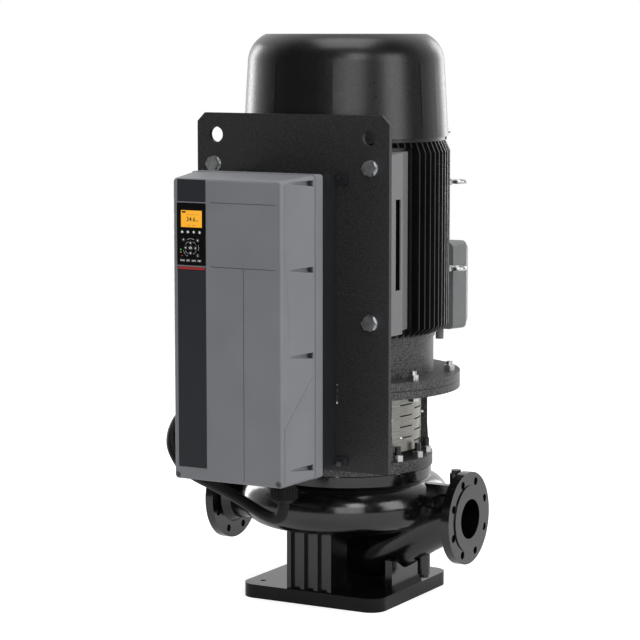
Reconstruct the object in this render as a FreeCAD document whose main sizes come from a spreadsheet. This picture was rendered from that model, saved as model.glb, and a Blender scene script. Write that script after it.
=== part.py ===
import FreeCAD, Part
import Sketcher
import math
import os
import re

# Inline centrifugal pump with a vertical motor and a frequency drive on a plate.
# +Z is up, the pipe line runs along X, the drive faces -Y.
# The origin is where the shaft axis meets the floor. Sizes are in millimetres.

os.makedirs("parts", exist_ok=True)
doc = FreeCAD.newDocument("inline_pump")
sizes = doc.addObject("Spreadsheet::Sheet", "sizes")
size_names = []
nodes = []


def size(alias, value):
    """Writes one driving dimension into the sheet under its own alias."""
    size_names.append(alias)
    row = len(size_names)
    sizes.set("A%d" % row, alias)
    sizes.set("B%d" % row, str(value))
    sizes.setAlias("B%d" % row, alias)
    sizes.recompute()


def mm(alias):
    """Reads one driving dimension back from the sheet."""
    return float(sizes.get(alias))


def formula(text):
    """Turns a formula on size names into one that the sheet can answer."""
    def named(word):
        return "sizes." + word.group() if word.group() in size_names else word.group()
    return re.sub(r"[a-z][a-z0-9_]*", named, text)


def bind(feature, **formulas):
    """Binds properties of a feature; two underscores stand for a dot."""
    for name, text in formulas.items():
        feature.setExpression(name.replace("__", "."), formula(text))


def node(feature, label):
    """Gives a finished sub-part the name that its file gets."""
    feature.Label = label
    nodes.append(feature)
    return feature


def sketch_on(body, role, lift=None):
    """Adds a sketch on one of the body's own origin planes, lifted along its normal."""
    sketch = body.newObject("Sketcher::SketchObject", body.Name + "_sketch")
    plane = [part for part in body.Origin.OriginFeatures if part.Role == role][0]
    sketch.AttachmentSupport = [(plane, "")]
    sketch.MapMode = "FlatFace"
    if lift:
        bind(sketch, AttachmentOffset__Base__z=lift)
    return sketch


def outline(sketch, corners):
    """Draws a closed polygon whose corners are dimensioned from the origin."""
    first = sketch.GeometryCount
    count = len(corners)
    ring = []
    for rank in range(count):
        turn = 2 * math.pi * rank / count
        ring.append(FreeCAD.Vector(100 + 50 * math.cos(turn), 100 + 50 * math.sin(turn), 0))
    for rank in range(count):
        sketch.addGeometry(Part.LineSegment(ring[rank], ring[(rank + 1) % count]), False)
    for rank in range(count):
        follower = first + (rank + 1) % count
        sketch.addConstraint(Sketcher.Constraint("Coincident", first + rank, 2, follower, 1))
    for rank, corner in enumerate(corners):
        for kind, text in zip(("DistanceX", "DistanceY"), corner):
            place = sketch.addConstraint(Sketcher.Constraint(kind, -1, 1, first + rank, 1, 10.0))
            sketch.setExpression("Constraints[%d]" % place, formula(text))


def turned(name, profile):
    """A body turned about the Z axis from a profile of (radius, height) corners."""
    body = doc.addObject("PartDesign::Body", name)
    sketch = sketch_on(body, "XZ_Plane")
    outline(sketch, profile)
    turn = body.newObject("PartDesign::Revolution", name + "_turn")
    turn.Profile = sketch
    turn.ReferenceAxis = (sketch, ["V_Axis"])
    turn.Angle = 360
    return body


def padded(name, role, corners, length, lift=None):
    """A body padded from a polygon on an origin plane, along the plane's normal."""
    body = doc.addObject("PartDesign::Body", name)
    sketch = sketch_on(body, role, lift)
    outline(sketch, corners)
    pad = body.newObject("PartDesign::Pad", name + "_pad")
    pad.Profile = sketch
    bind(pad, Length=length)
    return body


def rounded(body, radius, chosen):
    """Rounds the chosen edges of a body's last feature."""
    doc.recompute()
    base = body.Tip
    names = ["Edge%d" % (rank + 1) for rank, edge in enumerate(base.Shape.Edges) if chosen(edge)]
    fillet = body.newObject("PartDesign::Fillet", body.Name + "_round")
    fillet.Base = (base, names)
    bind(fillet, Radius=radius)
    return body


TURN = {
    "z": FreeCAD.Rotation(),
    "x": FreeCAD.Rotation(FreeCAD.Vector(0, 1, 0), 90),
    "y": FreeCAD.Rotation(FreeCAD.Vector(1, 0, 0), -90),
}


def place(feature, x, y, z, axis="z"):
    feature.Placement = FreeCAD.Placement(FreeCAD.Vector(), TURN[axis])
    bind(feature, Placement__Base__x=x, Placement__Base__y=y, Placement__Base__z=z)
    return feature


def rod(radius, length, x, y, z, axis="z"):
    """A cylinder that starts at x, y, z and runs along an axis."""
    feature = doc.addObject("Part::Cylinder", "rod")
    bind(feature, Radius=radius, Height=length)
    return place(feature, x, y, z, axis)


def hexagon(across_flats, length, x, y, z, axis="z"):
    """A hexagonal prism that starts at x, y, z and runs along an axis."""
    feature = doc.addObject("Part::Prism", "hexagon")
    feature.Polygon = 6
    bind(feature, Circumradius="(%s) / sqrt(3)" % across_flats, Height=length)
    return place(feature, x, y, z, axis)


def block(x_size, y_size, z_size, x, y, z):
    """A box whose lowest corner is at x, y, z."""
    feature = doc.addObject("Part::Box", "block")
    bind(feature, Length=x_size, Width=y_size, Height=z_size)
    return place(feature, x, y, z)


def fused(*parts):
    feature = doc.addObject("Part::MultiFuse", "joined")
    feature.Shapes = list(parts)
    return feature


def common(first, second):
    feature = doc.addObject("Part::Common", "shared")
    feature.Base = first
    feature.Tool = second
    return feature


def cut(base, *tools):
    feature = doc.addObject("Part::Cut", "cut")
    feature.Base = base
    feature.Tool = tools[0] if len(tools) == 1 else fused(*tools)
    return feature


def group(*parts):
    """Separate solids that share one sub-part."""
    feature = doc.addObject("Part::Compound", "group")
    feature.Links = list(parts)
    return feature


def mirrored(part, normal):
    feature = doc.addObject("Part::Mirroring", "mirrored")
    feature.Source = part
    feature.Normal = normal
    return feature


def shaped(name, shape):
    """A shape made from the sheet's values where no ready feature fits."""
    feature = doc.addObject("Part::Feature", name)
    feature.Shape = shape
    return feature


def around(radius, degrees):
    """Formulas of a point at an angle on a circle about the shaft axis."""
    return "(%s) * cos(%s)" % (radius, degrees), "(%s) * sin(%s)" % (radius, degrees)


# Fits that the whole pump shares: a running gap on radius, a gap between pieces
# that are slid together, and a gap between a screw and its hole.
size("running_gap", 0.05)
size("seat_gap", 0.3)
size("hole_gap", 0.5)

# Base plate: a cast slab with rounded corners, four anchor holes and four
# counterbored holes for the screws that hold the casing feet.
size("base_side", 378)
size("base_thick", 33)
size("base_corner", 40)
size("anchor_span_x", 300)
size("anchor_span_y", 280)
size("anchor_hole", 14)
size("foot_screw", 12)
size("foot_screw_grip", 20)
size("foot_screw_x", 32)
size("foot_screw_y", 150)
size("foot_head", 18)
size("foot_head_tall", 12)

half_base = "base_side / 2"
slab = padded("slab", "XY_Plane", [
    ("-" + half_base, "-" + half_base), (half_base, "-" + half_base),
    (half_base, half_base), ("-" + half_base, half_base)], "base_thick")
rounded(slab, "base_corner", lambda edge: abs(edge.tangentAt(edge.FirstParameter).z) > 0.99)
slab_holes = []
foot_screws = []
for side_x in ("", "-"):
    for side_y in ("", "-"):
        slab_holes.append(rod("anchor_hole / 2", "base_thick", side_x + "anchor_span_x / 2",
                              side_y + "anchor_span_y / 2", "0"))
        screw_x = side_x + "foot_screw_x"
        screw_y = side_y + "foot_screw_y"
        slab_holes.append(rod("foot_screw / 2 + hole_gap", "base_thick", screw_x, screw_y, "0"))
        slab_holes.append(rod("foot_head / 2 + hole_gap", "foot_head_tall + 2", screw_x, screw_y, "0"))
        head = rod("foot_head / 2", "foot_head_tall", screw_x, screw_y, "2")
        shank = rod("foot_screw / 2", "base_thick - foot_head_tall + foot_screw_grip - 3",
                    screw_x, screw_y, "foot_head_tall + 1")
        foot_screws.append(fused(head, shank))
node(cut(slab, *slab_holes), "base_plate")
node(group(*foot_screws), "foot_screws")

# Pipe ports: both ports share one line, flanged to DN 100 PN 16.
size("port_span", 670)
size("port_height", 209)
size("port_bore", 100)
size("pipe_wall", 9)
size("flange_od", 220)
size("flange_thick", 24)
size("flange_hub", 142)
size("hub_long", 22)
size("raised_od", 158)
size("raised_tall", 3)
size("bolt_circle", 180)
size("suction_hole", 19)
size("discharge_hole", 18)
size("bolt_count", 8)

# Volute: the passage round the impeller grows with the flow, which runs
# clockwise seen from above, and then bends into the left port.
size("scroll_height", 233)
size("scroll_base", 145)
size("scroll_wall", 9)
size("tongue_passage", 46)
size("throat_passage", 50)
size("tongue_angle", 175)
size("throat_angle", -150)
size("neck_bend", 110)
size("chamber_bore", 150)
size("chamber_floor", 199)
size("floor_wall", 12)

# Clamp ring on top of the casing, where cover and stool are bolted down.
size("ring_od", 414)
size("ring_bottom", 282)
size("ring_top", 314)
size("cover_od", 332)
size("cover_seat", 300)
size("stud_circle", 390)
size("stud_size", 15)
size("stud_step", 22.5)

# Suction elbow: it leaves the right port, sweeps down and turns up into the eye.
size("eye_bore", 124)
size("elbow_slope", 30)
size("elbow_drop_bend", 90)
size("elbow_rise_bend", 72)
size("elbow_top", 172)
size("elbow_end", 50)
size("stud_grip", 24)
size("web_thick", 22)
size("web_top", 284)
size("chamber_out_reach", 190)
size("ring_seat", 144)
size("ring_seat_low", 180)

# Casing feet.
size("leg_half", 60)
size("leg_front", 172)
size("leg_back", 104)
size("rib_deep", 10)
size("rib_thick", 11)
size("toe_x", 150)
size("toe_thick", 18)
size("toe_half", 78)
size("tap_boss", 30)
size("tap_thread", 16)
size("tap_top", 314)
size("tap_x", 297)
size("drain_x", 213)
size("drain_low", 62)



def disc_wire(centre, heading, radius):
    """A circle across a passage, with its seam on top so that lofts don't twist."""
    ring = Part.makeCircle(radius)
    up = FreeCAD.Vector(0, 0, 1)
    side = heading.cross(up)
    turn = FreeCAD.Rotation(heading.cross(side).negative(), side, heading, "ZXY")
    ring.Placement = FreeCAD.Placement(centre, turn)
    return Part.Wire([ring])


def scroll_ring(share):
    """Centre, flow direction and radius of the volute passage at a share of its sweep."""
    angle = math.radians(mm("tongue_angle") + (mm("throat_angle") - mm("tongue_angle")) * share)
    radius = mm("tongue_passage") + (mm("throat_passage") - mm("tongue_passage")) * share
    reach = mm("scroll_base") + radius
    centre = FreeCAD.Vector(reach * math.cos(angle), reach * math.sin(angle), mm("scroll_height"))
    return centre, FreeCAD.Vector(math.sin(angle), -math.cos(angle), 0), radius


def scroll(extra, lead):
    """The spiral passage from tongue to throat, thickened by extra; lead sets its start."""
    steps = 10
    rings = []
    for rank in range(steps + 1):
        share = lead + (1 - lead) * rank / steps
        centre, heading, radius = scroll_ring(share)
        rings.append(disc_wire(centre, heading, radius + extra))
    return Part.makeLoft(rings, True, False)


def neck(extra, overrun):
    """The discharge neck from the throat round a bend into the left port."""
    centre, heading, radius = scroll_ring(1)
    rings = [disc_wire(centre, heading, radius + extra)]
    bore = mm("port_bore") / 2
    bend = mm("neck_bend")
    turn = math.atan2(heading.y, heading.x)
    rise = bend * (1 + math.cos(turn))
    bend_start = centre + heading * ((-centre.y - rise) / heading.y)
    drop = mm("scroll_height") - mm("port_height")
    for share in (0.0, 0.5, 1.0):
        along = turn + (math.pi - turn) * share
        spot = FreeCAD.Vector(bend * (math.sin(along) - math.sin(turn)),
                              bend * (math.cos(turn) - math.cos(along)),
                              -drop * (0.15 + 0.85 * share))
        grown = radius + (bore - radius) * (0.4 + 0.6 * share)
        heading = FreeCAD.Vector(math.cos(along), math.sin(along), 0)
        rings.append(disc_wire(bend_start + spot, heading, grown + extra))
    mouth = FreeCAD.Vector(-mm("port_span") / 2 + mm("flange_thick") / 2 - overrun, 0, mm("port_height"))
    rings.append(disc_wire(mouth, FreeCAD.Vector(-1, 0, 0), bore + extra))
    return Part.makeLoft(rings, True, False)


def elbow(extra, overrun):
    """The suction passage from the right port down and round into the eye, widening on the way."""
    slope = math.radians(mm("elbow_slope"))
    height = mm("port_height")
    rise = mm("elbow_rise_bend")
    drop = mm("elbow_drop_bend")
    hub = FreeCAD.Vector(rise, 0, mm("elbow_top"))
    low = hub + FreeCAD.Vector(rise * math.sin(slope), 0, -rise * math.cos(slope))
    straight = (height - low.z - drop * (1 - math.cos(slope))) / math.sin(slope)
    high = low + FreeCAD.Vector(math.cos(slope), 0, math.sin(slope)) * straight
    flat = FreeCAD.Vector(high.x + drop * math.sin(slope), 0, height)
    mouth = FreeCAD.Vector(mm("port_span") / 2 - mm("flange_thick") / 2 + overrun, 0, height)
    stations = [(mouth, 0), (flat, 0)]
    half = slope / 2
    stations.append((flat - FreeCAD.Vector(drop * math.sin(half), 0, drop * (1 - math.cos(half))), half))
    stations.append((high, slope))
    stations.append(((high + low) * 0.5, slope))
    for share in (0.0, 0.25, 0.5, 0.75, 1.0):
        turn = slope - share * (slope + math.pi / 2)
        stations.append((hub + FreeCAD.Vector(rise * math.sin(turn), 0, -rise * math.cos(turn)), turn))
    rings = []
    bore = mm("port_bore") / 2
    for rank, (spot, turn) in enumerate(stations):
        share = max(0, rank - 1) / (len(stations) - 2)
        heading = FreeCAD.Vector(-math.cos(turn), 0, -math.sin(turn))
        ring = Part.makeCircle(bore + (mm("elbow_end") - bore) * share + extra)
        level = FreeCAD.Vector(0, 1, 0)
        ring.Placement = FreeCAD.Placement(spot, FreeCAD.Rotation(level, heading.cross(level), heading, "ZXY"))
        rings.append(Part.Wire([ring]))
    return Part.makeLoft(rings, True, False)


def port_flange(side):
    """One port flange with hub cone and raised face, on the side +1 or -1."""
    out = FreeCAD.Vector(side, 0, 0)
    face = FreeCAD.Vector(side * mm("port_span") / 2, 0, mm("port_height"))
    back = face - out * mm("flange_thick")
    plate = Part.makeCylinder(mm("flange_od") / 2, mm("flange_thick") - mm("raised_tall"), back, out)
    pad = Part.makeCylinder(mm("raised_od") / 2, mm("flange_thick"), back, out)
    pipe = mm("port_bore") / 2 + mm("pipe_wall")
    hub = Part.makeCone(pipe - 2, mm("flange_hub") / 2, mm("hub_long"), back - out * mm("hub_long"), out)
    return plate.multiFuse([pad, hub])


def port_holes(side):
    """The bolt holes of one port flange; they straddle the centre lines. The suction
    side's are a millimetre wider, so that the pump can be lined up with its pipes."""
    count = int(mm("bolt_count"))
    hole = mm("suction_hole") if side > 0 else mm("discharge_hole")
    holes = []
    for rank in range(count):
        angle = math.pi * (2 * rank + 1) / count
        reach = mm("bolt_circle") / 2
        foot = FreeCAD.Vector(side * (mm("port_span") / 2 + 1), reach * math.cos(angle),
                              mm("port_height") + reach * math.sin(angle))
        holes.append(Part.makeCylinder(hole / 2, mm("flange_thick") + 2, foot,
                                       FreeCAD.Vector(-side, 0, 0)))
    return holes


def turned_shape(profile):
    """A ring turned about the shaft axis from (radius, height) corners."""
    corners = [FreeCAD.Vector(radius, 0, height) for radius, height in profile]
    wire = Part.makePolygon(corners + corners[:1])
    return Part.Face(wire).revolve(FreeCAD.Vector(), FreeCAD.Vector(0, 0, 1), 360)


def upright(radius, low, high, x, y):
    return Part.makeCylinder(radius, high - low, FreeCAD.Vector(x, y, low), FreeCAD.Vector(0, 0, 1))


def slab_box(x_low, x_high, y_low, y_high, z_low, z_high):
    return Part.makeBox(x_high - x_low, y_high - y_low, z_high - z_low,
                        FreeCAD.Vector(x_low, y_low, z_low))


def stud_angles():
    """Angles of the clamp ring's studs: the stool's four columns stand at the diagonals."""
    angles = []
    rank = 0
    while rank * mm("stud_step") < 360 - 0.001:
        angle = rank * mm("stud_step")
        if abs(angle % 90 - 45) > mm("stud_step") / 2:
            angles.append(angle)
        rank += 1
    return angles


def casing_legs():
    """Front and back leg with vertical ribs, and the toe under the suction elbow."""
    base = mm("base_thick")
    top = mm("scroll_height")
    half = mm("leg_half")
    front = mm("leg_front")
    legs = []
    for side in (-1, 1):
        near = side * mm("leg_back")
        far = side * front
        legs.append(slab_box(-half, half, min(near, far), max(near, far), base, top))
        edge = side * (front + mm("rib_deep"))
        for rank in range(4):
            left = -half + rank * (2 * half - mm("rib_thick")) / 3
            legs.append(slab_box(left, left + mm("rib_thick"), min(far, edge), max(far, edge),
                                 base, top - mm("throat_passage")))
    toe = mm("toe_x")
    legs.append(slab_box(toe, toe + mm("toe_thick"), -mm("toe_half"), mm("toe_half"), base,
                         mm("drain_low") + 40))
    legs.append(slab_box(0, toe + mm("toe_thick"), -mm("toe_thick") / 2, mm("toe_thick") / 2, base,
                         mm("drain_low") + 20))
    return legs


# Pump casing: outer form first, then the wet passages and bores are cut away.
chamber_out = mm("chamber_bore") + mm("scroll_wall")
floor_low = mm("chamber_floor") - mm("floor_wall")
seat_out = mm("ring_seat") / 2 + mm("floor_wall")
casing = turned_shape([
    (0, mm("ring_seat_low") - mm("floor_wall")), (seat_out, mm("ring_seat_low") - mm("floor_wall")),
    (seat_out, floor_low), (chamber_out - 20, floor_low), (chamber_out, floor_low + 20),
    (chamber_out, mm("ring_bottom") - 14), (mm("ring_od") / 2 - 16, mm("ring_bottom")),
    (mm("ring_od") / 2, mm("ring_bottom")), (mm("ring_od") / 2, mm("ring_top")), (0, mm("ring_top"))])
web = slab_box(mm("chamber_out_reach"), mm("port_span") / 2 - mm("flange_thick"), -mm("web_thick") / 2,
               mm("web_thick") / 2, mm("port_height"), mm("web_top"))
legs = casing_legs()
tap_bosses = [upright(mm("tap_boss") / 2, mm("port_height"), mm("tap_top"), side * mm("tap_x"), 0)
              for side in (-1, 1)]
drain_boss = upright(mm("tap_boss") / 2, mm("drain_low"), mm("port_height") - 40, mm("drain_x"), 0)
outer = casing.multiFuse([web] + legs + tap_bosses + [drain_boss, port_flange(1), port_flange(-1)])
for limb in (scroll(mm("scroll_wall"), -0.02), neck(mm("scroll_wall"), 0), elbow(mm("pipe_wall"), 0)):
    outer = outer.fuse(limb)
chamber = turned_shape([(0, mm("chamber_floor")), (mm("chamber_bore"), mm("chamber_floor")),
                        (mm("chamber_bore"), mm("cover_seat")),
                        (mm("cover_od") / 2 + mm("seat_gap"), mm("cover_seat")),
                        (mm("cover_od") / 2 + mm("seat_gap"), mm("ring_top") + 1),
                        (0, mm("ring_top") + 1)])
eye = turned_shape([(0, mm("elbow_top") - 1), (mm("elbow_end") - 2, mm("elbow_top") - 1),
                    (mm("eye_bore") / 2, mm("ring_seat_low")), (mm("ring_seat") / 2, mm("ring_seat_low")),
                    (mm("ring_seat") / 2, mm("chamber_floor") + 1), (0, mm("chamber_floor") + 1)])
taps = [upright(mm("tap_thread") / 2, mm("tap_top") - 14, mm("tap_top") + 1, side * mm("tap_x"), 0)
        for side in (-1, 1)]
taps.append(upright(mm("tap_thread") / 2, mm("drain_low") - 1, mm("drain_low") + 14, mm("drain_x"), 0))
stud_holes = [upright(mm("stud_size") / 2 + mm("running_gap"), mm("ring_top") - mm("stud_grip"), mm("ring_top") + 1,
                      mm("stud_circle") / 2 * math.cos(math.radians(angle)),
                      mm("stud_circle") / 2 * math.sin(math.radians(angle))) for angle in stud_angles()]
screw_holes = [upright(mm("foot_screw") / 2 + mm("running_gap"), mm("base_thick") - 1,
                       mm("base_thick") + mm("foot_screw_grip") + 1,
                       side_x * mm("foot_screw_x"), side_y * mm("foot_screw_y"))
               for side_x in (-1, 1) for side_y in (-1, 1)]
casing = outer
for passage in [scroll(0, 0), neck(0, 20), elbow(0, 20), chamber, eye]:
    casing = casing.cut(passage)
casing = casing.cut(port_holes(1) + port_holes(-1) + taps + stud_holes + screw_holes)
node(shaped("pump_casing_shape", casing), "pump_casing")

# Wear ring: a bronze ring pressed into the casing floor round the impeller eye.
size("ring_tall", 17)
node(turned("wear_ring", [
    ("eye_bore / 2 + seat_gap", "ring_seat_low"), ("ring_seat / 2 - running_gap", "ring_seat_low"),
    ("ring_seat / 2 - running_gap", "ring_seat_low + ring_tall"),
    ("eye_bore / 2 + seat_gap", "ring_seat_low + ring_tall")]), "wear_ring")

# Pump cover: it closes the chamber from above and carries the shaft seal.
size("cover_face", 247)
size("cover_top", 316.5)
size("seal_bore", 72)
size("neck_od", 116)
size("neck_top", 330)
size("dish_out", 270)
size("dish_floor", 268)
size("o_ring_thick", 5)
size("o_ring_circle", 316)
size("pump_shaft_size", 42)
size("vent_circle", 200)
size("vent_size", 14)

neck_bore = "pump_shaft_size / 2 + 1.5"
cover = turned("cover", [
    ("seal_bore / 2", "cover_face"), ("chamber_bore - seat_gap", "cover_face"),
    ("chamber_bore - seat_gap", "cover_seat"), ("(o_ring_circle - o_ring_thick) / 2", "cover_seat"),
    ("(o_ring_circle - o_ring_thick) / 2", "cover_seat + o_ring_thick"),
    ("(o_ring_circle + o_ring_thick) / 2", "cover_seat + o_ring_thick"),
    ("(o_ring_circle + o_ring_thick) / 2", "cover_seat"), ("cover_od / 2", "cover_seat"),
    ("cover_od / 2", "cover_top"), ("dish_out / 2", "cover_top"), ("dish_out / 2 - 4", "dish_floor"),
    ("neck_od / 2 + 6", "dish_floor"), ("neck_od / 2", "neck_top"), (neck_bore, "neck_top"),
    (neck_bore, "neck_top - 14"), ("seal_bore / 2", "neck_top - 14")])
vent_x, vent_y = around("vent_circle / 2", "45")
vent_hole = rod("vent_size / 2", "13", vent_x, vent_y, "dish_floor - 12")
node(cut(cover, vent_hole), "pump_cover")
seal = doc.addObject("Part::Torus", "o_ring")
bind(seal, Radius1="o_ring_circle / 2", Radius2="o_ring_thick / 2 - running_gap")
node(place(seal, "0", "0", "cover_seat + o_ring_thick / 2"), "casing_o_ring")

# Shaft seal: a fixed ring under the cover's lip and a rotating ring below it.
size("seal_face", 304)
size("seal_low", 262)
node(turned("seal_seat", [
    ("pump_shaft_size / 2 + 3", "seal_face"), ("seal_bore / 2 - running_gap", "seal_face"),
    ("seal_bore / 2 - running_gap", "neck_top - 14"), ("pump_shaft_size / 2 + 3", "neck_top - 14")]), "seal_seat")
shaft_fit = "pump_shaft_size / 2 + running_gap"
node(turned("seal_ring", [
    (shaft_fit, "seal_low"), ("seal_bore / 2 - 6", "seal_low"), ("seal_bore / 2 - 6", "seal_low + 10"),
    ("seal_bore / 2 - 11", "seal_low + 12"), ("seal_bore / 2 - 11", "seal_face - 14"),
    ("seal_bore / 2 - 5", "seal_face - 12"), ("seal_bore / 2 - 5", "seal_face - 5"),
    ("seal_bore / 2 - 8", "seal_face - running_gap"), (shaft_fit, "seal_face - running_gap")]), "seal_ring")

# Plugs: hexagon plugs in both tapping bosses and in the drain boss, and the air vent.
size("plug_flats", 22)
size("plug_tall", 8)
plugs = []
for side in ("", "-"):
    thread = rod("tap_thread / 2 - running_gap", "12", side + "tap_x", "0", "tap_top - 12")
    head = hexagon("plug_flats", "plug_tall", side + "tap_x", "0", "tap_top")
    plugs.append(fused(thread, head))
thread = rod("tap_thread / 2 - running_gap", "12", "drain_x", "0", "drain_low")
head = hexagon("plug_flats", "plug_tall", "drain_x", "0", "drain_low - plug_tall")
plugs.append(fused(thread, head))
thread = rod("vent_size / 2 - running_gap", "10", vent_x, vent_y, "dish_floor - 10")
head = hexagon("plug_flats", "plug_tall + 6", vent_x, vent_y, "dish_floor")
plugs.append(fused(thread, head))
node(group(*plugs), "plugs_and_vent")

# Motor stool: a lower flange on the casing, four columns at the diagonals and a
# wide top flange for the motor. Its four windows give access to the coupling.
size("stool_flange_od", 420)
size("stool_flange_top", 344)
size("stool_bore", 276)
size("column_foot", 201)
size("column_out", 197)
size("column_in", 183)
size("motor_flange_od", 550)
size("stool_plate_low", 504)
size("mating_height", 522.5)
size("spigot_od", 450)
size("spigot_tall", 5)
size("window_wide", 186)
size("window_low", 344)
size("window_high", 497)
size("motor_bolt_circle", 500)
size("motor_bolt", 16)
size("motor_bolt_hole", 18.5)
size("motor_flange_top", 543)

stool = turned("stool", [
    ("stool_bore / 2", "cover_top"), ("stool_flange_od / 2", "cover_top"),
    ("stool_flange_od / 2", "stool_flange_top"), ("column_foot", "stool_flange_top"),
    ("column_foot", "stool_flange_top + 12"), ("column_out", "stool_flange_top + 68"), ("column_out", "stool_plate_low"),
    ("motor_flange_od / 2", "stool_plate_low"), ("motor_flange_od / 2", "mating_height"),
    ("spigot_od / 2 + seat_gap", "mating_height"),
    ("spigot_od / 2 + seat_gap", "mating_height - spigot_tall - seat_gap"),
    ("column_in", "mating_height - spigot_tall - seat_gap"), ("column_in", "stool_flange_top"),
    ("stool_bore / 2", "stool_flange_top")])
window_tall = "window_high - window_low"
window_x = block("stool_flange_od + 20", "window_wide", window_tall,
                 "-stool_flange_od / 2 - 10", "-window_wide / 2", "window_low")
window_y = block("window_wide", "stool_flange_od + 20", window_tall,
                 "-window_wide / 2", "-stool_flange_od / 2 - 10", "window_low")
stool_cuts = [window_x, window_y]
studs = []
for angle in stud_angles():
    stud_x, stud_y = around("stud_circle / 2", str(angle))
    stool_cuts.append(rod("stud_size / 2 + hole_gap", "stool_flange_top - cover_top + 2",
                          stud_x, stud_y, "cover_top - 1"))
    stud = rod("stud_size / 2", "stool_flange_top - ring_top + stud_grip + 33", stud_x, stud_y,
               "ring_top - stud_grip + 1")
    nut = hexagon("24", "14", stud_x, stud_y, "stool_flange_top")
    studs.append(fused(stud, nut))
flange_bolts = []
for rank in range(8):
    bolt_x, bolt_y = around("motor_bolt_circle / 2", "22.5 + 45 * %d" % rank)
    stool_cuts.append(rod("motor_bolt_hole / 2", "20.5", bolt_x, bolt_y, "stool_plate_low - 1"))
    head = hexagon("24", "10", bolt_x, bolt_y, "stool_plate_low - 10")
    shank = rod("motor_bolt / 2", "71", bolt_x, bolt_y, "stool_plate_low - 10")
    nut = hexagon("24", "13", bolt_x, bolt_y, "motor_flange_top")
    flange_bolts.append((head, shank, nut))
node(cut(stool, *stool_cuts), "motor_stool")
node(group(*studs), "stool_studs")

# Small screws, all alike: socket head screws for the heat sink's ears, the guard
# sheets, the terminal box lid, the fan cowl and the sides of the drive's cover.
size("small_screw", 6)
size("screw_head", 6)
size("screw_head_tall", 5)
size("screw_long", 14)
size("guard_out", 182.5)
size("guard_screw_z", 440)
size("guard_screw_reach", 84)
size("lid_screw_x", 146)
size("lid_screw_low", 642)
size("lid_screw_high", 812)
size("lid_back", 342)
size("cowl_screw_z", 1115)
size("cowl_foot", 243.75)
size("plate_front", 262)
size("ear_thick", 8)
size("ear_screw_x", 131.4)
size("ear_screw_high", 1021.6)
size("ear_screw_low", 365.2)
size("body_front", 436)
size("side_screw_x", 151.5)
size("side_screw_seat", 441.6)
size("side_screw_1", 1019)
size("side_screw_2", 828.4)
size("side_screw_3", 637.7)
size("side_screw_4", 386.2)
size("corner_screw_x", 130)
size("corner_screw_z", 362)
size("corner_screw_seat", 541)


def compass(degrees):
    """The level direction at an angle from the X axis."""
    turn = math.radians(degrees)
    return FreeCAD.Vector(math.cos(turn), math.sin(turn), 0)


def up(height):
    return FreeCAD.Vector(0, 0, height)


def socket_screw(seat, out):
    """A screw with its head's underside at seat; out points away from the piece."""
    head = Part.makeCylinder(mm("screw_head"), mm("screw_head_tall"), seat, out)
    shank = Part.makeCylinder(mm("small_screw") / 2, mm("screw_long"), seat, out.negative())
    socket = Part.makeCylinder(mm("screw_head") / 2, 3, seat + out * (mm("screw_head_tall") - 3), out)
    return head.fuse(shank).cut(socket)


def screw_bore(seat, out):
    """The hole that a screw needs in the pieces under its head."""
    return Part.makeCylinder(mm("small_screw") / 2 + mm("running_gap"), mm("screw_long") + 2,
                             seat + out, out.negative())


ear_spots = []
side_spots = []
corner_spots = []
lid_spots = []
for side in (-1, 1):
    for height in (mm("ear_screw_low"), mm("ear_screw_high")):
        face = -mm("plate_front") - mm("seat_gap") - mm("ear_thick")
        ear_spots.append((FreeCAD.Vector(side * mm("ear_screw_x"), face, height), FreeCAD.Vector(0, -1, 0)))
    for height in ("side_screw_1", "side_screw_2", "side_screw_3", "side_screw_4"):
        spot = FreeCAD.Vector(side * mm("side_screw_x"), -mm("side_screw_seat"), mm(height))
        side_spots.append((spot, FreeCAD.Vector(0, -1, 0)))
    spot = FreeCAD.Vector(side * mm("corner_screw_x"), -mm("corner_screw_seat"), mm("corner_screw_z"))
    corner_spots.append((spot, FreeCAD.Vector(0, -1, 0)))
    for height in (mm("lid_screw_low"), mm("lid_screw_high")):
        spot = FreeCAD.Vector(side * mm("lid_screw_x"), mm("lid_back"), height)
        lid_spots.append((spot, FreeCAD.Vector(0, 1, 0)))
guard_spots = []
guard_lean = math.degrees(math.asin(mm("guard_screw_reach") / mm("guard_out")))
for middle in (0, 90, 180, 270):
    for lean in (-guard_lean, guard_lean):
        out = compass(middle + lean)
        guard_spots.append((out * mm("guard_out") + up(mm("guard_screw_z")), out))
cowl_spots = []
for angle in (-90, 30, 150):
    cowl_spots.append((compass(angle) * mm("cowl_foot") + up(mm("cowl_screw_z")), compass(angle)))
screw_spots = ear_spots + side_spots + corner_spots + lid_spots + guard_spots + cowl_spots

# Coupling guards: four curved steel sheets behind the stool's windows.
size("guard_sheet", 1.5)
size("guard_low", 362)
size("guard_high", 500)
size("guard_lap", 14)
size("slit_wide", 46)
size("slit_web", 6)
size("slit_tall", 3)
size("slit_pitch", 26)


def guard_half(side):
    """One half of a curved sheet up to its middle, with a column of slits."""
    low = mm("guard_low")
    high = mm("guard_high")
    near = mm("window_wide") / 2
    far = mm("guard_out") + 5
    outer = upright(mm("guard_out"), low, high, 0, 0)
    inner = upright(mm("guard_out") - mm("guard_sheet"), low - 1, high + 1, 0, 0)
    edges = sorted((0, side * (mm("window_wide") + mm("guard_lap")) / 2))
    half = outer.cut(inner).common(slab_box(near, far, edges[0], edges[1], low - 5, high + 5))
    span = sorted((side * mm("slit_web"), side * (mm("slit_web") + mm("slit_wide"))))
    start = low + 18 + (0 if side > 0 else mm("slit_pitch") / 2)
    slits = []
    for rank in range(5 if side > 0 else 4):
        level = start + rank * mm("slit_pitch")
        slits.append(slab_box(near, far, span[0], span[1], level, level + mm("slit_tall")))
    return half.cut(slits)


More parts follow.
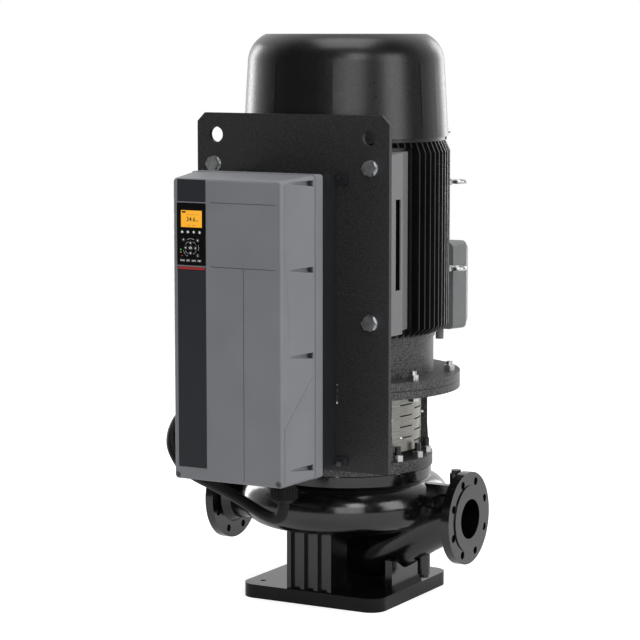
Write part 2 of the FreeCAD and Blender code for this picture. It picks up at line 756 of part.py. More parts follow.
sheets = []
for turn in range(4):
    sheet = guard_half(1).fuse(guard_half(-1))
    sheet.rotate(FreeCAD.Vector(), FreeCAD.Vector(0, 0, 1), 90 * turn)
    sheets.append(sheet.cut([screw_bore(*spot) for spot in guard_spots]))
node(shaped("guard_sheets", Part.makeCompound(sheets)), "coupling_guards")

# Motor flange: the drive-end shield with its big bolted disc and round neck.
size("neck_shield", 211)
size("neck_ridge", 214.5)
size("ridge_low", 628)
size("frame_low", 640)
size("frame_bore", 400)
size("bearing_od", 150)
size("bearing_bore", 70)
size("bearing_tall", 35)
size("bearing_low", 562)
shield = turned("shield", [
    ("38", "mating_height + 22"), ("175", "mating_height + 8"), ("180", "mating_height - spigot_tall"),
    ("spigot_od / 2", "mating_height - spigot_tall"), ("spigot_od / 2", "mating_height"),
    ("motor_flange_od / 2", "mating_height"), ("motor_flange_od / 2", "motor_flange_top"),
    ("neck_shield", "motor_flange_top"), ("neck_shield", "ridge_low"), ("neck_ridge", "ridge_low"),
    ("neck_ridge", "frame_low"), ("frame_bore / 2 - 5", "frame_low"), ("frame_bore / 2 - 5", "bearing_low + 12"),
    ("bearing_od / 2 + 25", "bearing_low"), ("bearing_od / 2 + 20", "bearing_low + bearing_tall + 6"),
    ("bearing_od / 2 + running_gap", "bearing_low + bearing_tall + 6"),
    ("bearing_od / 2 + running_gap", "bearing_low"), ("38", "bearing_low")])
shield_holes = []
for rank in range(8):
    bolt_x, bolt_y = around("motor_bolt_circle / 2", "22.5 + 45 * %d" % rank)
    shield_holes.append(rod("motor_bolt_hole / 2", "motor_flange_top - mating_height + 2",
                            bolt_x, bolt_y, "mating_height - 1"))
node(cut(shield, *shield_holes), "motor_flange")
node(group(*[fused(*pieces) for pieces in flange_bolts]), "flange_bolts")

# Motor bearings: one ball bearing in each end shield.
size("fan_bearing_low", 1072)
bearings = []
for name, low in (("lower_bearing", "bearing_low"), ("upper_bearing", "fan_bearing_low")):
    bearings.append(turned(name, [
        ("bearing_bore / 2 + running_gap", low), ("bearing_od / 2", low),
        ("bearing_od / 2", low + " + bearing_tall"),
        ("bearing_bore / 2 + running_gap", low + " + bearing_tall")]))
node(group(*bearings), "motor_bearings")

# Motor frame: a cast shell with upright cooling fins all round, plain pads where
# the feet and the terminal box stand, and four bosses for the lifting eyes.
size("frame_high", 1095)
size("fin_root", 222)
size("fin_reach", 248)
size("fin_thick", 5)
size("fin_count", 80)
size("fin_end_rise", 20)
size("box_pad_half", 105)
size("box_pad_low", 622)
size("box_pad_high", 812)
size("box_half", 170)
size("box_low", 618)
size("box_high", 836)
size("box_face", 244)
size("eye_reach", 281)
size("eye_low", 778)
size("eye_high", 989)
size("eye_boss", 20)
size("foot_low", 663)
size("foot_high", 1075)
size("foot_face", 250)
size("foot_in", 150)
size("foot_out", 250)
size("foot_tall", 60)


def fin_ring():
    """Cross-section of the finned frame as one closed polygon."""
    corners = []
    count = int(mm("fin_count"))
    root_half = math.asin(mm("fin_thick") / 2 / mm("fin_root"))
    tip_half = math.asin(mm("fin_thick") / 2 / mm("fin_reach")) * 0.7
    for rank in range(count):
        middle = 2 * math.pi * rank / count
        for radius, turn in ((mm("fin_root"), middle - root_half), (mm("fin_reach"), middle - tip_half),
                             (mm("fin_reach"), middle + tip_half), (mm("fin_root"), middle + root_half)):
            corners.append(FreeCAD.Vector(radius * math.cos(turn), radius * math.sin(turn), mm("frame_low")))
    return Part.Face(Part.makePolygon(corners + corners[:1]))


def frame_shape():
    """The finned frame between its two shields."""
    low = mm("frame_low")
    high = mm("frame_high")
    fins = fin_ring().extrude(FreeCAD.Vector(0, 0, high - low))
    rise = mm("fin_end_rise")
    reach = mm("fin_reach") + 1
    envelope = turned_shape([(0, low), (mm("fin_root"), low), (reach, low + rise), (reach, high - rise - 8),
                             (mm("fin_root") + 14, high), (0, high)])
    frame = fins.common(envelope)
    core = upright(mm("fin_root") + 0.5, low, high, 0, 0)
    inside = mm("foot_in") - 6
    clear_feet = []
    for side in (-1, 1):
        edges = sorted((side * inside, side * (mm("foot_out") + 10)))
        clear_feet.append(slab_box(edges[0], edges[1], -mm("foot_face") - 5, -90, mm("foot_low") - 8,
                                   mm("foot_high") + 8))
    frame = frame.cut(clear_feet)
    pad = slab_box(-mm("box_pad_half"), mm("box_pad_half"), 150, mm("box_face"), mm("box_pad_low"),
                   mm("box_pad_high"))
    bosses = []
    for side in (45, 135):
        for height in (mm("eye_low"), mm("eye_high")):
            turn = math.radians(side)
            out = FreeCAD.Vector(math.cos(turn), math.sin(turn), 0)
            foot = out * 190 + FreeCAD.Vector(0, 0, height)
            bosses.append(Part.makeCylinder(mm("eye_boss"), mm("fin_reach") - 190, foot, out))
    neck_room = upright(mm("neck_ridge") + mm("seat_gap"), mm("box_pad_low") - 1, low, 0, 0)
    box_room = slab_box(-mm("box_half") - 5, mm("box_half") + 5, mm("box_face"), mm("fin_reach") + 5,
                        mm("box_low") - 5, mm("box_high") + 5)
    whole = frame.cut([box_room]).multiFuse([core, pad.cut([neck_room])] + bosses)
    return whole.cut([upright(mm("frame_bore") / 2 + mm("running_gap"), low - 1, high + 1, 0, 0)])


node(shaped("motor_frame_shape", frame_shape()), "motor_frame")

# Stator: the laminated core in the frame bore and the two winding heads.
size("core_low", 720)
size("core_high", 1000)
size("stator_bore", 253)
size("winding_reach", 50)
node(turned("stator_core", [
    ("stator_bore / 2", "core_low"), ("frame_bore / 2", "core_low"),
    ("frame_bore / 2", "core_high"), ("stator_bore / 2", "core_high")]), "stator_core")
heads = []
for name, inner, outer_end in (("lower_head", "core_low", "core_low - winding_reach"),
                               ("upper_head", "core_high", "core_high + winding_reach")):
    heads.append(turned(name, [
        ("stator_bore / 2 + 6", inner), ("stator_bore / 2 + 12", outer_end),
        ("frame_bore / 2 - 16", outer_end), ("frame_bore / 2 - 6", inner)]))
node(group(*heads), "stator_windings")

# Rotor: the motor shaft with its laminated core and end rings.
size("motor_shaft_size", 65)
size("motor_shaft_end", 382.5)
size("rotor_seat", 90)
size("rotor_od", 250)
size("fan_seat", 56)
size("shaft_top", 1222)
node(turned("motor_shaft", [
    ("0", "motor_shaft_end"), ("motor_shaft_size / 2", "motor_shaft_end"),
    ("motor_shaft_size / 2", "bearing_low - 10"), ("bearing_bore / 2", "bearing_low - 10"),
    ("bearing_bore / 2", "bearing_low + bearing_tall"), ("rotor_seat / 2", "bearing_low + bearing_tall"),
    ("rotor_seat / 2", "fan_bearing_low"), ("bearing_bore / 2", "fan_bearing_low"),
    ("bearing_bore / 2", "fan_bearing_low + bearing_tall + 2"),
    ("fan_seat / 2", "fan_bearing_low + bearing_tall + 2"), ("fan_seat / 2", "shaft_top"),
    ("0", "shaft_top")]), "motor_shaft")
node(turned("rotor_core", [
    ("rotor_seat / 2 + running_gap", "core_low"), ("rotor_od / 2 - 32", "core_low"),
    ("rotor_od / 2 - 32", "core_low - 20"), ("rotor_od / 2 - 6", "core_low - 20"),
    ("rotor_od / 2 - 2", "core_low"), ("rotor_od / 2", "core_low"),
    ("rotor_od / 2", "core_high"), ("rotor_od / 2 - 2", "core_high"),
    ("rotor_od / 2 - 6", "core_high + 20"), ("rotor_od / 2 - 32", "core_high + 20"),
    ("rotor_od / 2 - 32", "core_high"), ("rotor_seat / 2 + running_gap", "core_high")]), "rotor_core")

# Fan-end shield: it closes the frame and carries the upper bearing and the cowl.
size("shield_rim", 236)
size("shield_rim_tall", 13)
size("cowl_low", 1104)
size("cowl_shoulder", 233.5)
size("cowl_shoulder_height", 1277)
size("cowl_crown", 191)
size("cowl_top", 1344)
size("cowl_round", 73.5)
size("cowl_sheet", 3)
top_shield = turned("top_shield", [
    ("bearing_od / 2 + running_gap", "fan_bearing_low - 4"), ("bearing_od / 2 + 20", "fan_bearing_low - 4"),
    ("bearing_od / 2 + 22", "frame_high - 6"), ("frame_bore / 2 - seat_gap", "frame_high - 6"),
    ("frame_bore / 2 - seat_gap", "frame_high"), ("shield_rim", "frame_high"),
    ("shield_rim", "frame_high + shield_rim_tall"), ("bearing_od / 2 + 24", "fan_bearing_low + bearing_tall + 12"),
    ("38", "fan_bearing_low + bearing_tall + 12"), ("38", "fan_bearing_low + bearing_tall"),
    ("bearing_od / 2 + running_gap", "fan_bearing_low + bearing_tall")])
lugs = []
for spot, out in cowl_spots:
    reach = mm("cowl_foot") - mm("cowl_sheet") - 1.6
    lug = slab_box(reach - 24, reach, -13, 13, mm("frame_high"), mm("cowl_screw_z") + 9)
    lug.rotate(FreeCAD.Vector(), FreeCAD.Vector(0, 0, 1), math.degrees(math.atan2(out.y, out.x)))
    lugs.append(lug.cut(screw_bore(spot, out)))
node(fused(top_shield, *[shaped("lug", lug) for lug in lugs]), "fan_end_shield")

# Cooling fan on the upper shaft end: hub, back plate and straight radial blades.
size("fan_od", 390)
size("fan_plate_low", 1136)
size("fan_plate_thick", 5)
size("blade_tall", 62)
size("blade_count", 8)
fan_hub = turned("fan_hub", [
    ("fan_seat / 2 + running_gap", "fan_plate_low - 8"), ("fan_seat / 2 + 18", "fan_plate_low - 8"),
    ("fan_seat / 2 + 18", "fan_plate_low"), ("fan_od / 2", "fan_plate_low"),
    ("fan_od / 2", "fan_plate_low + fan_plate_thick"),
    ("fan_seat / 2 + 16", "fan_plate_low + fan_plate_thick + 4"),
    ("fan_seat / 2 + 14", "fan_plate_low + blade_tall"),
    ("fan_seat / 2 + running_gap", "fan_plate_low + blade_tall")])
blades = []
for rank in range(int(mm("blade_count")) // 2):
    blade = block("fan_od - 12", "4", "blade_tall", "0", "0", "0")
    blade.Placement.Rotation = FreeCAD.Rotation(FreeCAD.Vector(0, 0, 1), 180.0 * rank / 4)
    turn = "%s" % (180.0 * rank / 4)
    bind(blade, Placement__Base__x="-(fan_od / 2 - 6) * cos(%s) + 2 * sin(%s)" % (turn, turn),
         Placement__Base__y="-(fan_od / 2 - 6) * sin(%s) - 2 * cos(%s)" % (turn, turn),
         Placement__Base__z="fan_plate_low")
    blades.append(blade)
blade_bore = rod("fan_seat / 2 + running_gap", "blade_tall + 60", "0", "0", "fan_plate_low - 20")
node(cut(fused(fan_hub, *blades), blade_bore), "cooling_fan")

# Fan cowl: a pressed steel hood with a rounded shoulder, narrow drainage grooves
# in pairs down its sides and rows of intake slots in the flat top.
size("cowl_rim_band", 1125)
size("groove_wide", 2.5)
size("groove_deep", 1.2)
size("slot_wide", 7)
size("slot_count", 24)


def cowl_shell(inset):
    """The cowl's solid form, drawn inwards by the sheet where inset is given."""
    low = mm("cowl_low") - (1 if inset else 0)
    centre = FreeCAD.Vector(mm("cowl_shoulder") - mm("cowl_round"), 0, mm("cowl_shoulder_height"))
    reach = mm("cowl_round") - inset
    top = mm("cowl_top") - inset
    crown = math.asin((mm("cowl_top") - mm("cowl_shoulder_height")) / mm("cowl_round"))
    lift = math.asin(min(0.999, (top - centre.z) / reach))
    shoulder = centre + FreeCAD.Vector(reach, 0, 0)
    middle = centre + FreeCAD.Vector(reach * math.cos(crown / 2), 0, reach * math.sin(crown / 2))
    edge = centre + FreeCAD.Vector(reach * math.cos(lift), 0, reach * math.sin(lift))
    foot = FreeCAD.Vector(mm("cowl_foot") - inset, 0, low)
    lines = [Part.makeLine(FreeCAD.Vector(0, 0, low), foot), Part.makeLine(foot, shoulder),
             Part.Arc(shoulder, middle, edge).toShape(),
             Part.makeLine(edge, FreeCAD.Vector(0, 0, top)),
             Part.makeLine(FreeCAD.Vector(0, 0, top), FreeCAD.Vector(0, 0, low))]
    return Part.Face(Part.Wire(lines)).revolve(FreeCAD.Vector(), FreeCAD.Vector(0, 0, 1), 360)


def cowl_slots():
    """Two rings of radial intake slots with rounded ends, cut through the flat top."""
    slots = []
    count = int(mm("slot_count"))
    for rank in range(count):
        for near, far in ((48, 104), (116, 172)):
            strip = slab_box(near, far, -mm("slot_wide") / 2, mm("slot_wide") / 2, mm("cowl_top") - 8,
                             mm("cowl_top") + 2)
            ends = [upright(mm("slot_wide") / 2, mm("cowl_top") - 8, mm("cowl_top") + 2, reach, 0)
                    for reach in (near, far)]
            slot = strip.multiFuse(ends)
            slot.rotate(FreeCAD.Vector(), FreeCAD.Vector(0, 0, 1), 360 * rank / count)
            slots.append(slot)
    return slots


def cowl_grooves():
    """The grooves in the cowl's side, in pairs; each is a thin upright blade."""
    grooves = []
    band = turned_shape([(mm("cowl_shoulder") - mm("cowl_round") / 2, mm("cowl_rim_band")),
                         (mm("cowl_foot") + 10, mm("cowl_rim_band")),
                         (mm("cowl_foot") + 10, mm("cowl_shoulder_height") + 30),
                         (mm("cowl_shoulder") - mm("cowl_round") / 2, mm("cowl_shoulder_height") + 30)])
    for middle in (-42, 48, 138, -132):
        for side in (-27, 27):
            turn = math.radians(middle - 90 + side)
            blade = slab_box(mm("cowl_foot") - 20, mm("cowl_foot") + 5, -mm("groove_wide") / 2,
                             mm("groove_wide") / 2, mm("cowl_rim_band"), mm("cowl_shoulder_height"))
            blade.rotate(FreeCAD.Vector(), FreeCAD.Vector(0, 0, 1), math.degrees(turn))
            grooves.append(blade)
    core = cowl_shell(mm("groove_deep"))
    return [blade.cut(core) for blade in grooves]


cowl = cowl_shell(0).cut(cowl_shell(mm("cowl_sheet")))
cowl = cowl.cut(cowl_slots() + cowl_grooves() + [screw_bore(*spot) for spot in cowl_spots])
node(shaped("fan_cowl_shape", cowl), "fan_cowl")

# Motor feet: two cast foot strips toward the drive, with slots and bolt pads.
size("foot_bolt_x", 206)
size("foot_bolt_low", 693)
size("foot_bolt_high", 1044)
size("foot_bolt", 20)
size("foot_slot_low", 765)
size("foot_slot_high", 972)


def motor_foot(side):
    """One foot strip on the side +1 or -1, cut to sit on the frame's shell."""
    face = -mm("foot_face")
    corners = [(mm("foot_in"), face), (mm("foot_out"), face), (mm("foot_out"), face + mm("foot_tall")),
               (mm("foot_out") - 24, face + mm("foot_tall") + 4), (mm("foot_out") - 36, -95),
               (mm("foot_in") - 4, -95), (mm("foot_in") - 4, -170)]
    points = [FreeCAD.Vector(side * x, y, mm("foot_low")) for x, y in corners]
    strip = Part.Face(Part.makePolygon(points + points[:1])).extrude(
        FreeCAD.Vector(0, 0, mm("foot_high") - mm("foot_low")))
    shell = upright(mm("fin_root") + 0.5 + mm("seat_gap"), mm("foot_low") - 1, mm("foot_high") + 1, 0, 0)
    edges = sorted((side * (mm("foot_out") - 22), side * (mm("foot_out") + 5)))
    slot = slab_box(edges[0], edges[1], face + 26, face + 50, mm("foot_slot_low"), mm("foot_slot_high"))
    holes = []
    for height in (mm("foot_bolt_low"), mm("foot_bolt_high")):
        holes.append(Part.makeCylinder(mm("foot_bolt") / 2 + mm("hole_gap"), 50,
                                       FreeCAD.Vector(side * mm("foot_bolt_x"), face - 1, height),
                                       FreeCAD.Vector(0, 1, 0)))
    pocket_low = mm("foot_bolt_low") + 36
    pocket_high = mm("foot_bolt_high") - 36
    inner = sorted((side * (mm("foot_in") + 12), side * (mm("foot_out") - 34)))
    pocket = slab_box(inner[0], inner[1], face - 1, face + 16, pocket_low, pocket_high)
    return strip.cut([shell, slot, pocket] + holes)


node(shaped("motor_feet_shape", Part.makeCompound([motor_foot(-1), motor_foot(1)])), "motor_feet")

# Terminal box on the far side of the motor, with its own lid.
size("box_front", 312)
size("lid_taper", 10)
size("box_wall", 6)
size("gland_x", -80)
size("gland_y", 300)
size("gland_thread", 35)


def block_shape(x_half, z_low, z_high, y, corner):
    """A rounded rectangle in a plane of constant Y, as a wire for lofts."""
    corners = [(-x_half, z_low), (x_half, z_low), (x_half, z_high), (-x_half, z_high)]
    points = [FreeCAD.Vector(x, y, z) for x, z in corners]
    box = Part.makePolygon(points + points[:1])
    face = Part.Face(box).extrude(FreeCAD.Vector(0, 1, 0))
    upright_edges = [edge for edge in face.Edges if abs(edge.tangentAt(edge.FirstParameter).y) > 0.99]
    solid = face.makeFillet(corner, upright_edges)
    ends = [item for item in solid.Faces if abs(item.CenterOfMass.y - y) < 0.01]
    return ends[0].OuterWire


def lofted(stations):
    """A solid through rounded rectangles given as (x_half, z_low, z_high, y, corner)."""
    return Part.makeLoft([block_shape(*station) for station in stations], True, True)


box_shape = lofted([(mm("box_half") - 3, mm("box_low") + 3, mm("box_high") - 3, mm("box_face") + mm("seat_gap"), 12),
                    (mm("box_half"), mm("box_low"), mm("box_high"), mm("box_front"), 12)])
hollow = lofted([(mm("box_half") - 9, mm("box_low") + 9, mm("box_high") - 9, mm("box_face") + 8, 6),
                 (mm("box_half") - 6, mm("box_low") + 6, mm("box_high") - 6, mm("box_front") + 1, 6)])
plug_boss = upright(10, mm("box_low") - 24, mm("box_low") + 2, 122, 262)
gland_hole = upright(mm("gland_thread") / 2, mm("box_low") - 1, mm("box_low") + 20, mm("gland_x"), mm("gland_y") - 10)
node(shaped("terminal_box_shape", box_shape.cut([hollow, gland_hole]).fuse(plug_boss)), "terminal_box")
lid = lofted([(mm("box_half") - 1, mm("box_low") + 1, mm("box_high") - 1, mm("box_front") + mm("seat_gap"), 12),
              (mm("box_half") - mm("lid_taper"), mm("box_low") + mm("lid_taper"),
               mm("box_high") - mm("lid_taper"), mm("lid_back"), 12)])
lid = lid.cut([screw_bore(*spot) for spot in lid_spots])
node(shaped("terminal_box_lid_shape", lid), "terminal_box_lid")

# Lifting eyes: four horizontal rings on shanks in the frame's bosses.
size("eye_ring", 17)
size("eye_wire", 5)


def lifting_eye(side, height):
    turn = math.radians(side)
    out = FreeCAD.Vector(math.cos(turn), math.sin(turn), 0)
    lift = FreeCAD.Vector(0, 0, height)
    reach = mm("fin_reach") + mm("seat_gap")
    collar = Part.makeCylinder(15, 6, out * reach + lift, out)
    shank = Part.makeCylinder(8, mm("eye_reach") - mm("eye_ring") - reach + 2, out * reach + lift, out)
    ring = Part.makeTorus(mm("eye_ring"), mm("eye_wire"), out * (mm("eye_reach") + 3) + lift)
    return ring.multiFuse([collar, shank])


eyes = [lifting_eye(side, height) for side in (45, 135) for height in (mm("eye_low"), mm("eye_high"))]
node(shaped("lifting_eyes_shape", Part.makeCompound(eyes)), "lifting_eyes")

# Mounting plate for the drive: steel plate bolted to the motor feet, with its top
# corners cut off and two lifting holes.
size("plate_half", 252.8)
size("plate_low", 346.4)
size("plate_high", 1162.5)
size("plate_corner", 20)
size("lift_hole", 36)
size("rim_room_half", 122)
size("lift_hole_x", 202)
size("lift_hole_z", 1112)

plate_corners = [
    ("-plate_half", "plate_low"), ("plate_half", "plate_low"), ("plate_half", "plate_high - plate_corner"),
    ("plate_half - plate_corner", "plate_high"), ("-plate_half + plate_corner", "plate_high"),
    ("-plate_half", "plate_high - plate_corner")]
plate = padded("plate", "XZ_Plane", plate_corners, "plate_front - foot_face - seat_gap",
               "foot_face + seat_gap")
plate_holes = []
for side in ("", "-"):
    plate_holes.append(rod("lift_hole / 2", "20", side + "lift_hole_x", "-plate_front - 4", "lift_hole_z", "y"))
    for height in ("foot_bolt_low", "foot_bolt_high"):
        plate_holes.append(rod("foot_bolt / 2 + hole_gap", "20", side + "foot_bolt_x", "-plate_front - 4",
                               height, "y"))
    for height in ("ear_screw_low", "ear_screw_high"):
        plate_holes.append(rod("small_screw / 2 + running_gap", "20", side + "ear_screw_x",
                               "-plate_front - 4", height, "y"))
rim_room = block("2 * rim_room_half", "20", "motor_flange_top - stool_plate_low + 8", "-rim_room_half",
                 "-plate_front - 4", "stool_plate_low - 4")
node(cut(plate, rim_room, *plate_holes), "mounting_plate")

# Plate bolts: four big hexagon bolts with washers into the motor feet.
plate_bolts = []
for side in ("", "-"):
    for height in ("foot_bolt_low", "foot_bolt_high"):
        washer = rod("18.5", "3", side + "foot_bolt_x", "-plate_front - 3", height, "y")
        head = hexagon("30", "12.5", side + "foot_bolt_x", "-plate_front - 15.5", height, "y")
        shank = rod("foot_bolt / 2", "56", side + "foot_bolt_x", "-plate_front - 15", height, "y")
        plate_bolts.append(fused(washer, head, shank))
node(group(*plate_bolts), "plate_bolts")

# Frequency drive, back to front: heat sink with upright channels, rear frame and
# a moulded cover whose front is a little narrower than its back.
size("sink_half", 118)
size("sink_front", 404)
size("sink_low", 362)
size("sink_high", 1030)
size("ear_out", 150)
size("channel_wide", 12)
size("channel_count", 11)
size("sink_fan_od", 100)
size("sink_fan_y", -317)
size("sink_axle", 12)
size("body_half", 161)
size("body_low", 357)
size("body_high", 1037)
size("body_wall", 4)
size("cover_front", 548)
size("cover_front_half", 139)
size("cover_front_low", 352)
size("cover_front_high", 1028)
size("strip_left", -128)
size("strip_right", -54)
size("strip_low", 381)
size("strip_high", 1026)
size("strip_deep", 3)
size("panel_low", 836)
size("panel_high", 973)
size("panel_face", 550)
size("stripe_low", 825)
size("display_left", -117.3)
size("display_right", -62.8)
size("display_low", 919.7)
size("display_high", 957.5)
size("drive_gland_x", 93)
size("drive_gland_y", -460)
size("drive_gland_od", 62)
size("cable_od", 26)


def heat_sink():
    """Extruded block with channels open at both ends, ears at the corners and a fan pocket."""
    back = -mm("plate_front") - mm("seat_gap")
    front = -mm("sink_front")
    block_part = slab_box(-mm("sink_half"), mm("sink_half"), front, back, mm("sink_low"), mm("sink_high"))
    ears = []
    for low, high in ((mm("ear_screw_low") - 15, mm("ear_screw_low") + 15),
                      (mm("ear_screw_high") - 15, mm("ear_screw_high") + 15)):
        ears.append(slab_box(-mm("ear_out"), mm("ear_out"), back - mm("ear_thick"), back,
                             max(low, mm("sink_low")), min(high, mm("sink_high"))))
    count = int(mm("channel_count"))
    pitch = 2 * (mm("sink_half") - 10) / count
    channels = []
    for rank in range(count):
        middle = -mm("sink_half") + 10 + pitch * (rank + 0.5)
        channels.append(slab_box(middle - mm("channel_wide") / 2, middle + mm("channel_wide") / 2,
                                 back - 104, back - 18, mm("sink_low") - 1, mm("sink_high") + 1))
    channels.append(upright(mm("motor_flange_od") / 2 + 1.5, mm("stool_plate_low") - 4,
                            mm("motor_flange_top") + 4, 0, 0))
    pocket = upright(mm("sink_fan_od") / 2 + 4, mm("sink_low") - 1, mm("sink_low") + 30, 0, mm("sink_fan_y"))
    bar = slab_box(-mm("sink_fan_od") / 2 - 6, mm("sink_fan_od") / 2 + 6, mm("sink_fan_y") - 9,
                   mm("sink_fan_y") + 9, mm("sink_low") + 26, mm("sink_low") + 32)
    axle = upright(mm("sink_axle") / 2, mm("sink_low") + 4, mm("sink_low") + 30, 0, mm("sink_fan_y"))
    holes = [Part.makeCylinder(mm("small_screw") / 2 + mm("hole_gap"), 20,
                               FreeCAD.Vector(side * mm("ear_screw_x"), back - 14, height),
                               FreeCAD.Vector(0, 1, 0))
             for side in (-1, 1) for height in (mm("ear_screw_low"), mm("ear_screw_high"))]
    body = block_part.multiFuse(ears).cut(channels)
    return body.cut([pocket] + holes).multiFuse([bar, axle])


node(shaped("drive_heatsink_shape", heat_sink()), "drive_heatsink")
frame_back = mm("sink_front") + mm("seat_gap")
rear = lofted([(mm("body_half"), mm("body_low"), mm("body_high"), -mm("body_front"), 8),
               (mm("body_half"), mm("body_low"), mm("body_high"), -frame_back, 8)])
rear_room = lofted([(mm("body_half") - 4, mm("body_low") + 4, mm("body_high") - 4, -mm("body_front") - 1, 5),
                    (mm("body_half") - 4, mm("body_low") + 4, mm("body_high") - 4, -frame_back - 4, 5)])
seats = []
for spot, out in side_spots:
    seats.append(slab_box(spot.x - 8.5, spot.x + 8.5, -mm("body_front"), -mm("body_front") + 14,
                          spot.z - 10, spot.z + 10))
rear = rear.cut(rear_room).fuse(seats).cut([screw_bore(*spot) for spot in side_spots])
node(shaped("drive_frame_shape", rear), "drive_frame")

# Drive cover: moulded, drawn to a front that is a little smaller and lower. Its
# left side has a recess for the dark strip, and parting grooves split it in three.
size("seam_upper", 976)
size("seam_lower", 834)
size("seam_x", 42.3)
size("seam_wide", 1.6)
size("seam_deep", 2.5)
size("front_round", 7)
size("recess_wide", 13.6)
size("recess_tip", 534)
size("recess_wall", 1.9)
size("rib_top", 597)
size("rib_bend", 483)
size("rib_y", 539)
size("rib_wide", 7)
size("rib_proud", 1.2)


def cover_form(inset):
    """The cover's outer form, or its inside when inset is the wall."""
    back = mm("body_front") + mm("seat_gap") - (2 if inset else 0)
    front = mm("cover_front") - inset
    body = lofted([
        (mm("body_half") - 2 - inset, mm("body_low") + 0.5 + inset, mm("body_high") - 1 - inset, -back, 9),
        (mm("cover_front_half") - inset, mm("cover_front_low") + inset, mm("cover_front_high") - inset,
         -front, 9)])
    if inset:
        return body
    rim = [edge for edge in body.Edges
           if all(abs(vertex.Point.y + front) < 0.01 for vertex in edge.Vertexes)]
    return body.makeFillet(mm("front_round"), rim)


def cover_grooves():
    """Parting lines of the moulded cover as narrow cuts in its front."""
    face = -mm("cover_front")
    half = mm("seam_wide") / 2
    deep = mm("seam_deep")
    grooves = []
    for height in (mm("seam_upper"), mm("seam_lower")):
        grooves.append(slab_box(mm("strip_right") + 12, mm("cover_front_half") - 17, face - 1, face + deep,
                                height - half, height + half))
    grooves.append(slab_box(mm("seam_x") - half, mm("seam_x") + half, face - 1, face + deep,
                            mm("cover_front_low") + 8, mm("seam_lower")))
    return grooves


def recess_outline(side, spot, half):
    """A round-ended outline, open towards the cover's side, round one point of a recess."""
    far = FreeCAD.Vector(side * (mm("body_half") + 10), spot.y, spot.z)
    rise = FreeCAD.Vector(0, 0, half)
    tip = spot - FreeCAD.Vector(side * half, 0, 0)
    edges = [Part.Arc(spot + rise, tip, spot - rise).toShape(), Part.makeLine(spot - rise, far - rise),
             Part.makeLine(far - rise, far + rise), Part.makeLine(far + rise, spot + rise)]
    return Part.Wire(edges)


def recess(side, height, extra):
    """The tapered recess that leads a driver to one side screw, thickened by extra for its walls."""
    seat = FreeCAD.Vector(side * mm("side_screw_x"), -mm("side_screw_seat"), height)
    tip = FreeCAD.Vector(side * (mm("side_screw_x") - 7.5), -mm("recess_tip"), height + 4)
    outline = recess_outline(side, seat, mm("recess_wide") / 2 + extra)
    form = Part.makeLoft([outline, recess_outline(side, tip, 0.8 + extra)], True, True)
    if extra:
        deep = mm("side_screw_seat") - mm("body_front") - mm("seat_gap")
        form = form.fuse(Part.Face(outline).extrude(FreeCAD.Vector(0, deep, 0)))
    return form


def side_rib(side):
    """The raised rib on the cover's side: slanting forward from the frame, then straight down."""
    wide = mm("rib_wide")
    lean = wide * 1.48
    profile = [(-mm("body_front") - 1, mm("rib_top")), (-mm("rib_y"), mm("rib_bend")),
               (-mm("rib_y"), mm("cover_front_low") + 10), (-mm("rib_y") + wide, mm("cover_front_low") + 10),
               (-mm("rib_y") + wide, mm("rib_bend") - wide * 0.45), (-mm("body_front") - 1, mm("rib_top") - lean)]
    points = [FreeCAD.Vector(side * 120, y, z) for y, z in profile]
    face = Part.Face(Part.makePolygon(points + points[:1]))
    return face.extrude(FreeCAD.Vector(side * 45, 0, 0)).common(cover_form(-mm("rib_proud")))


cover_solid = cover_form(0)
inside = cover_form(mm("body_wall"))
strip_cut = slab_box(mm("strip_left"), mm("strip_right"), -mm("cover_front") - 1,
                     -mm("cover_front") + mm("strip_deep"), mm("strip_low"), mm("strip_high"))
gland_cut = upright(mm("cable_od") / 2 + 9.5, mm("cover_front_low") - 4, mm("cover_front_low") + 20,
                    mm("drive_gland_x"), mm("drive_gland_y"))
walls = [recess(1 if spot.x > 0 else -1, spot.z, mm("recess_wall")) for spot, out in side_spots]
for spot, out in corner_spots:
    walls.append(Part.makeCylinder(10, 24, spot + out * 6.9, out.negative()))
drive_cover = cover_solid.fuse([side_rib(-1), side_rib(1)])
drive_cover = drive_cover.cut([inside.cut(walls), strip_cut, gland_cut] + cover_grooves())
for spot, out in side_spots:
    drive_cover = drive_cover.cut(recess(1 if spot.x > 0 else -1, spot.z, 0))
for spot, out in corner_spots:
    drive_cover = drive_cover.cut(Part.makeCylinder(7, 12, spot, out))
drive_cover = drive_cover.cut([screw_bore(*spot) for spot in side_spots + corner_spots])
pads = [slab_box(mm("strip_left") + 1, mm("strip_right") - 1, -mm("cover_front") + mm("strip_deep"),
                 -mm("cover_front") + 16, mm("strip_low") + 1, mm("strip_high") - 1)]
panel_room = slab_box(mm("strip_left") + 2.7, mm("strip_right") - 2.7, -mm("cover_front"),
                      -mm("cover_front") + mm("strip_deep") + 6, mm("panel_low") + 2.7, mm("panel_high") - 2.7)
drive_cover = drive_cover.fuse(pads).cut(panel_room)
node(shaped("drive_cover_shape", drive_cover), "drive_cover")

# Dark strip on the cover's left: blank panel on top, operator panel, long panel
# below with a red stripe along its top.
strip_back = -mm("cover_front") + mm("strip_deep") - mm("seat_gap")
strip_face = -mm("cover_front") - 1


def strip_panel(low, high, face, corner):
    panel = slab_box(mm("strip_left") + mm("seat_gap"), mm("strip_right") - mm("seat_gap"), face, strip_back,
                     low, high)
    rim = [edge for edge in panel.Edges
           if all(abs(vertex.Point.y - face) < 0.01 for vertex in edge.Vertexes)]
    return panel.makeFillet(corner, rim)


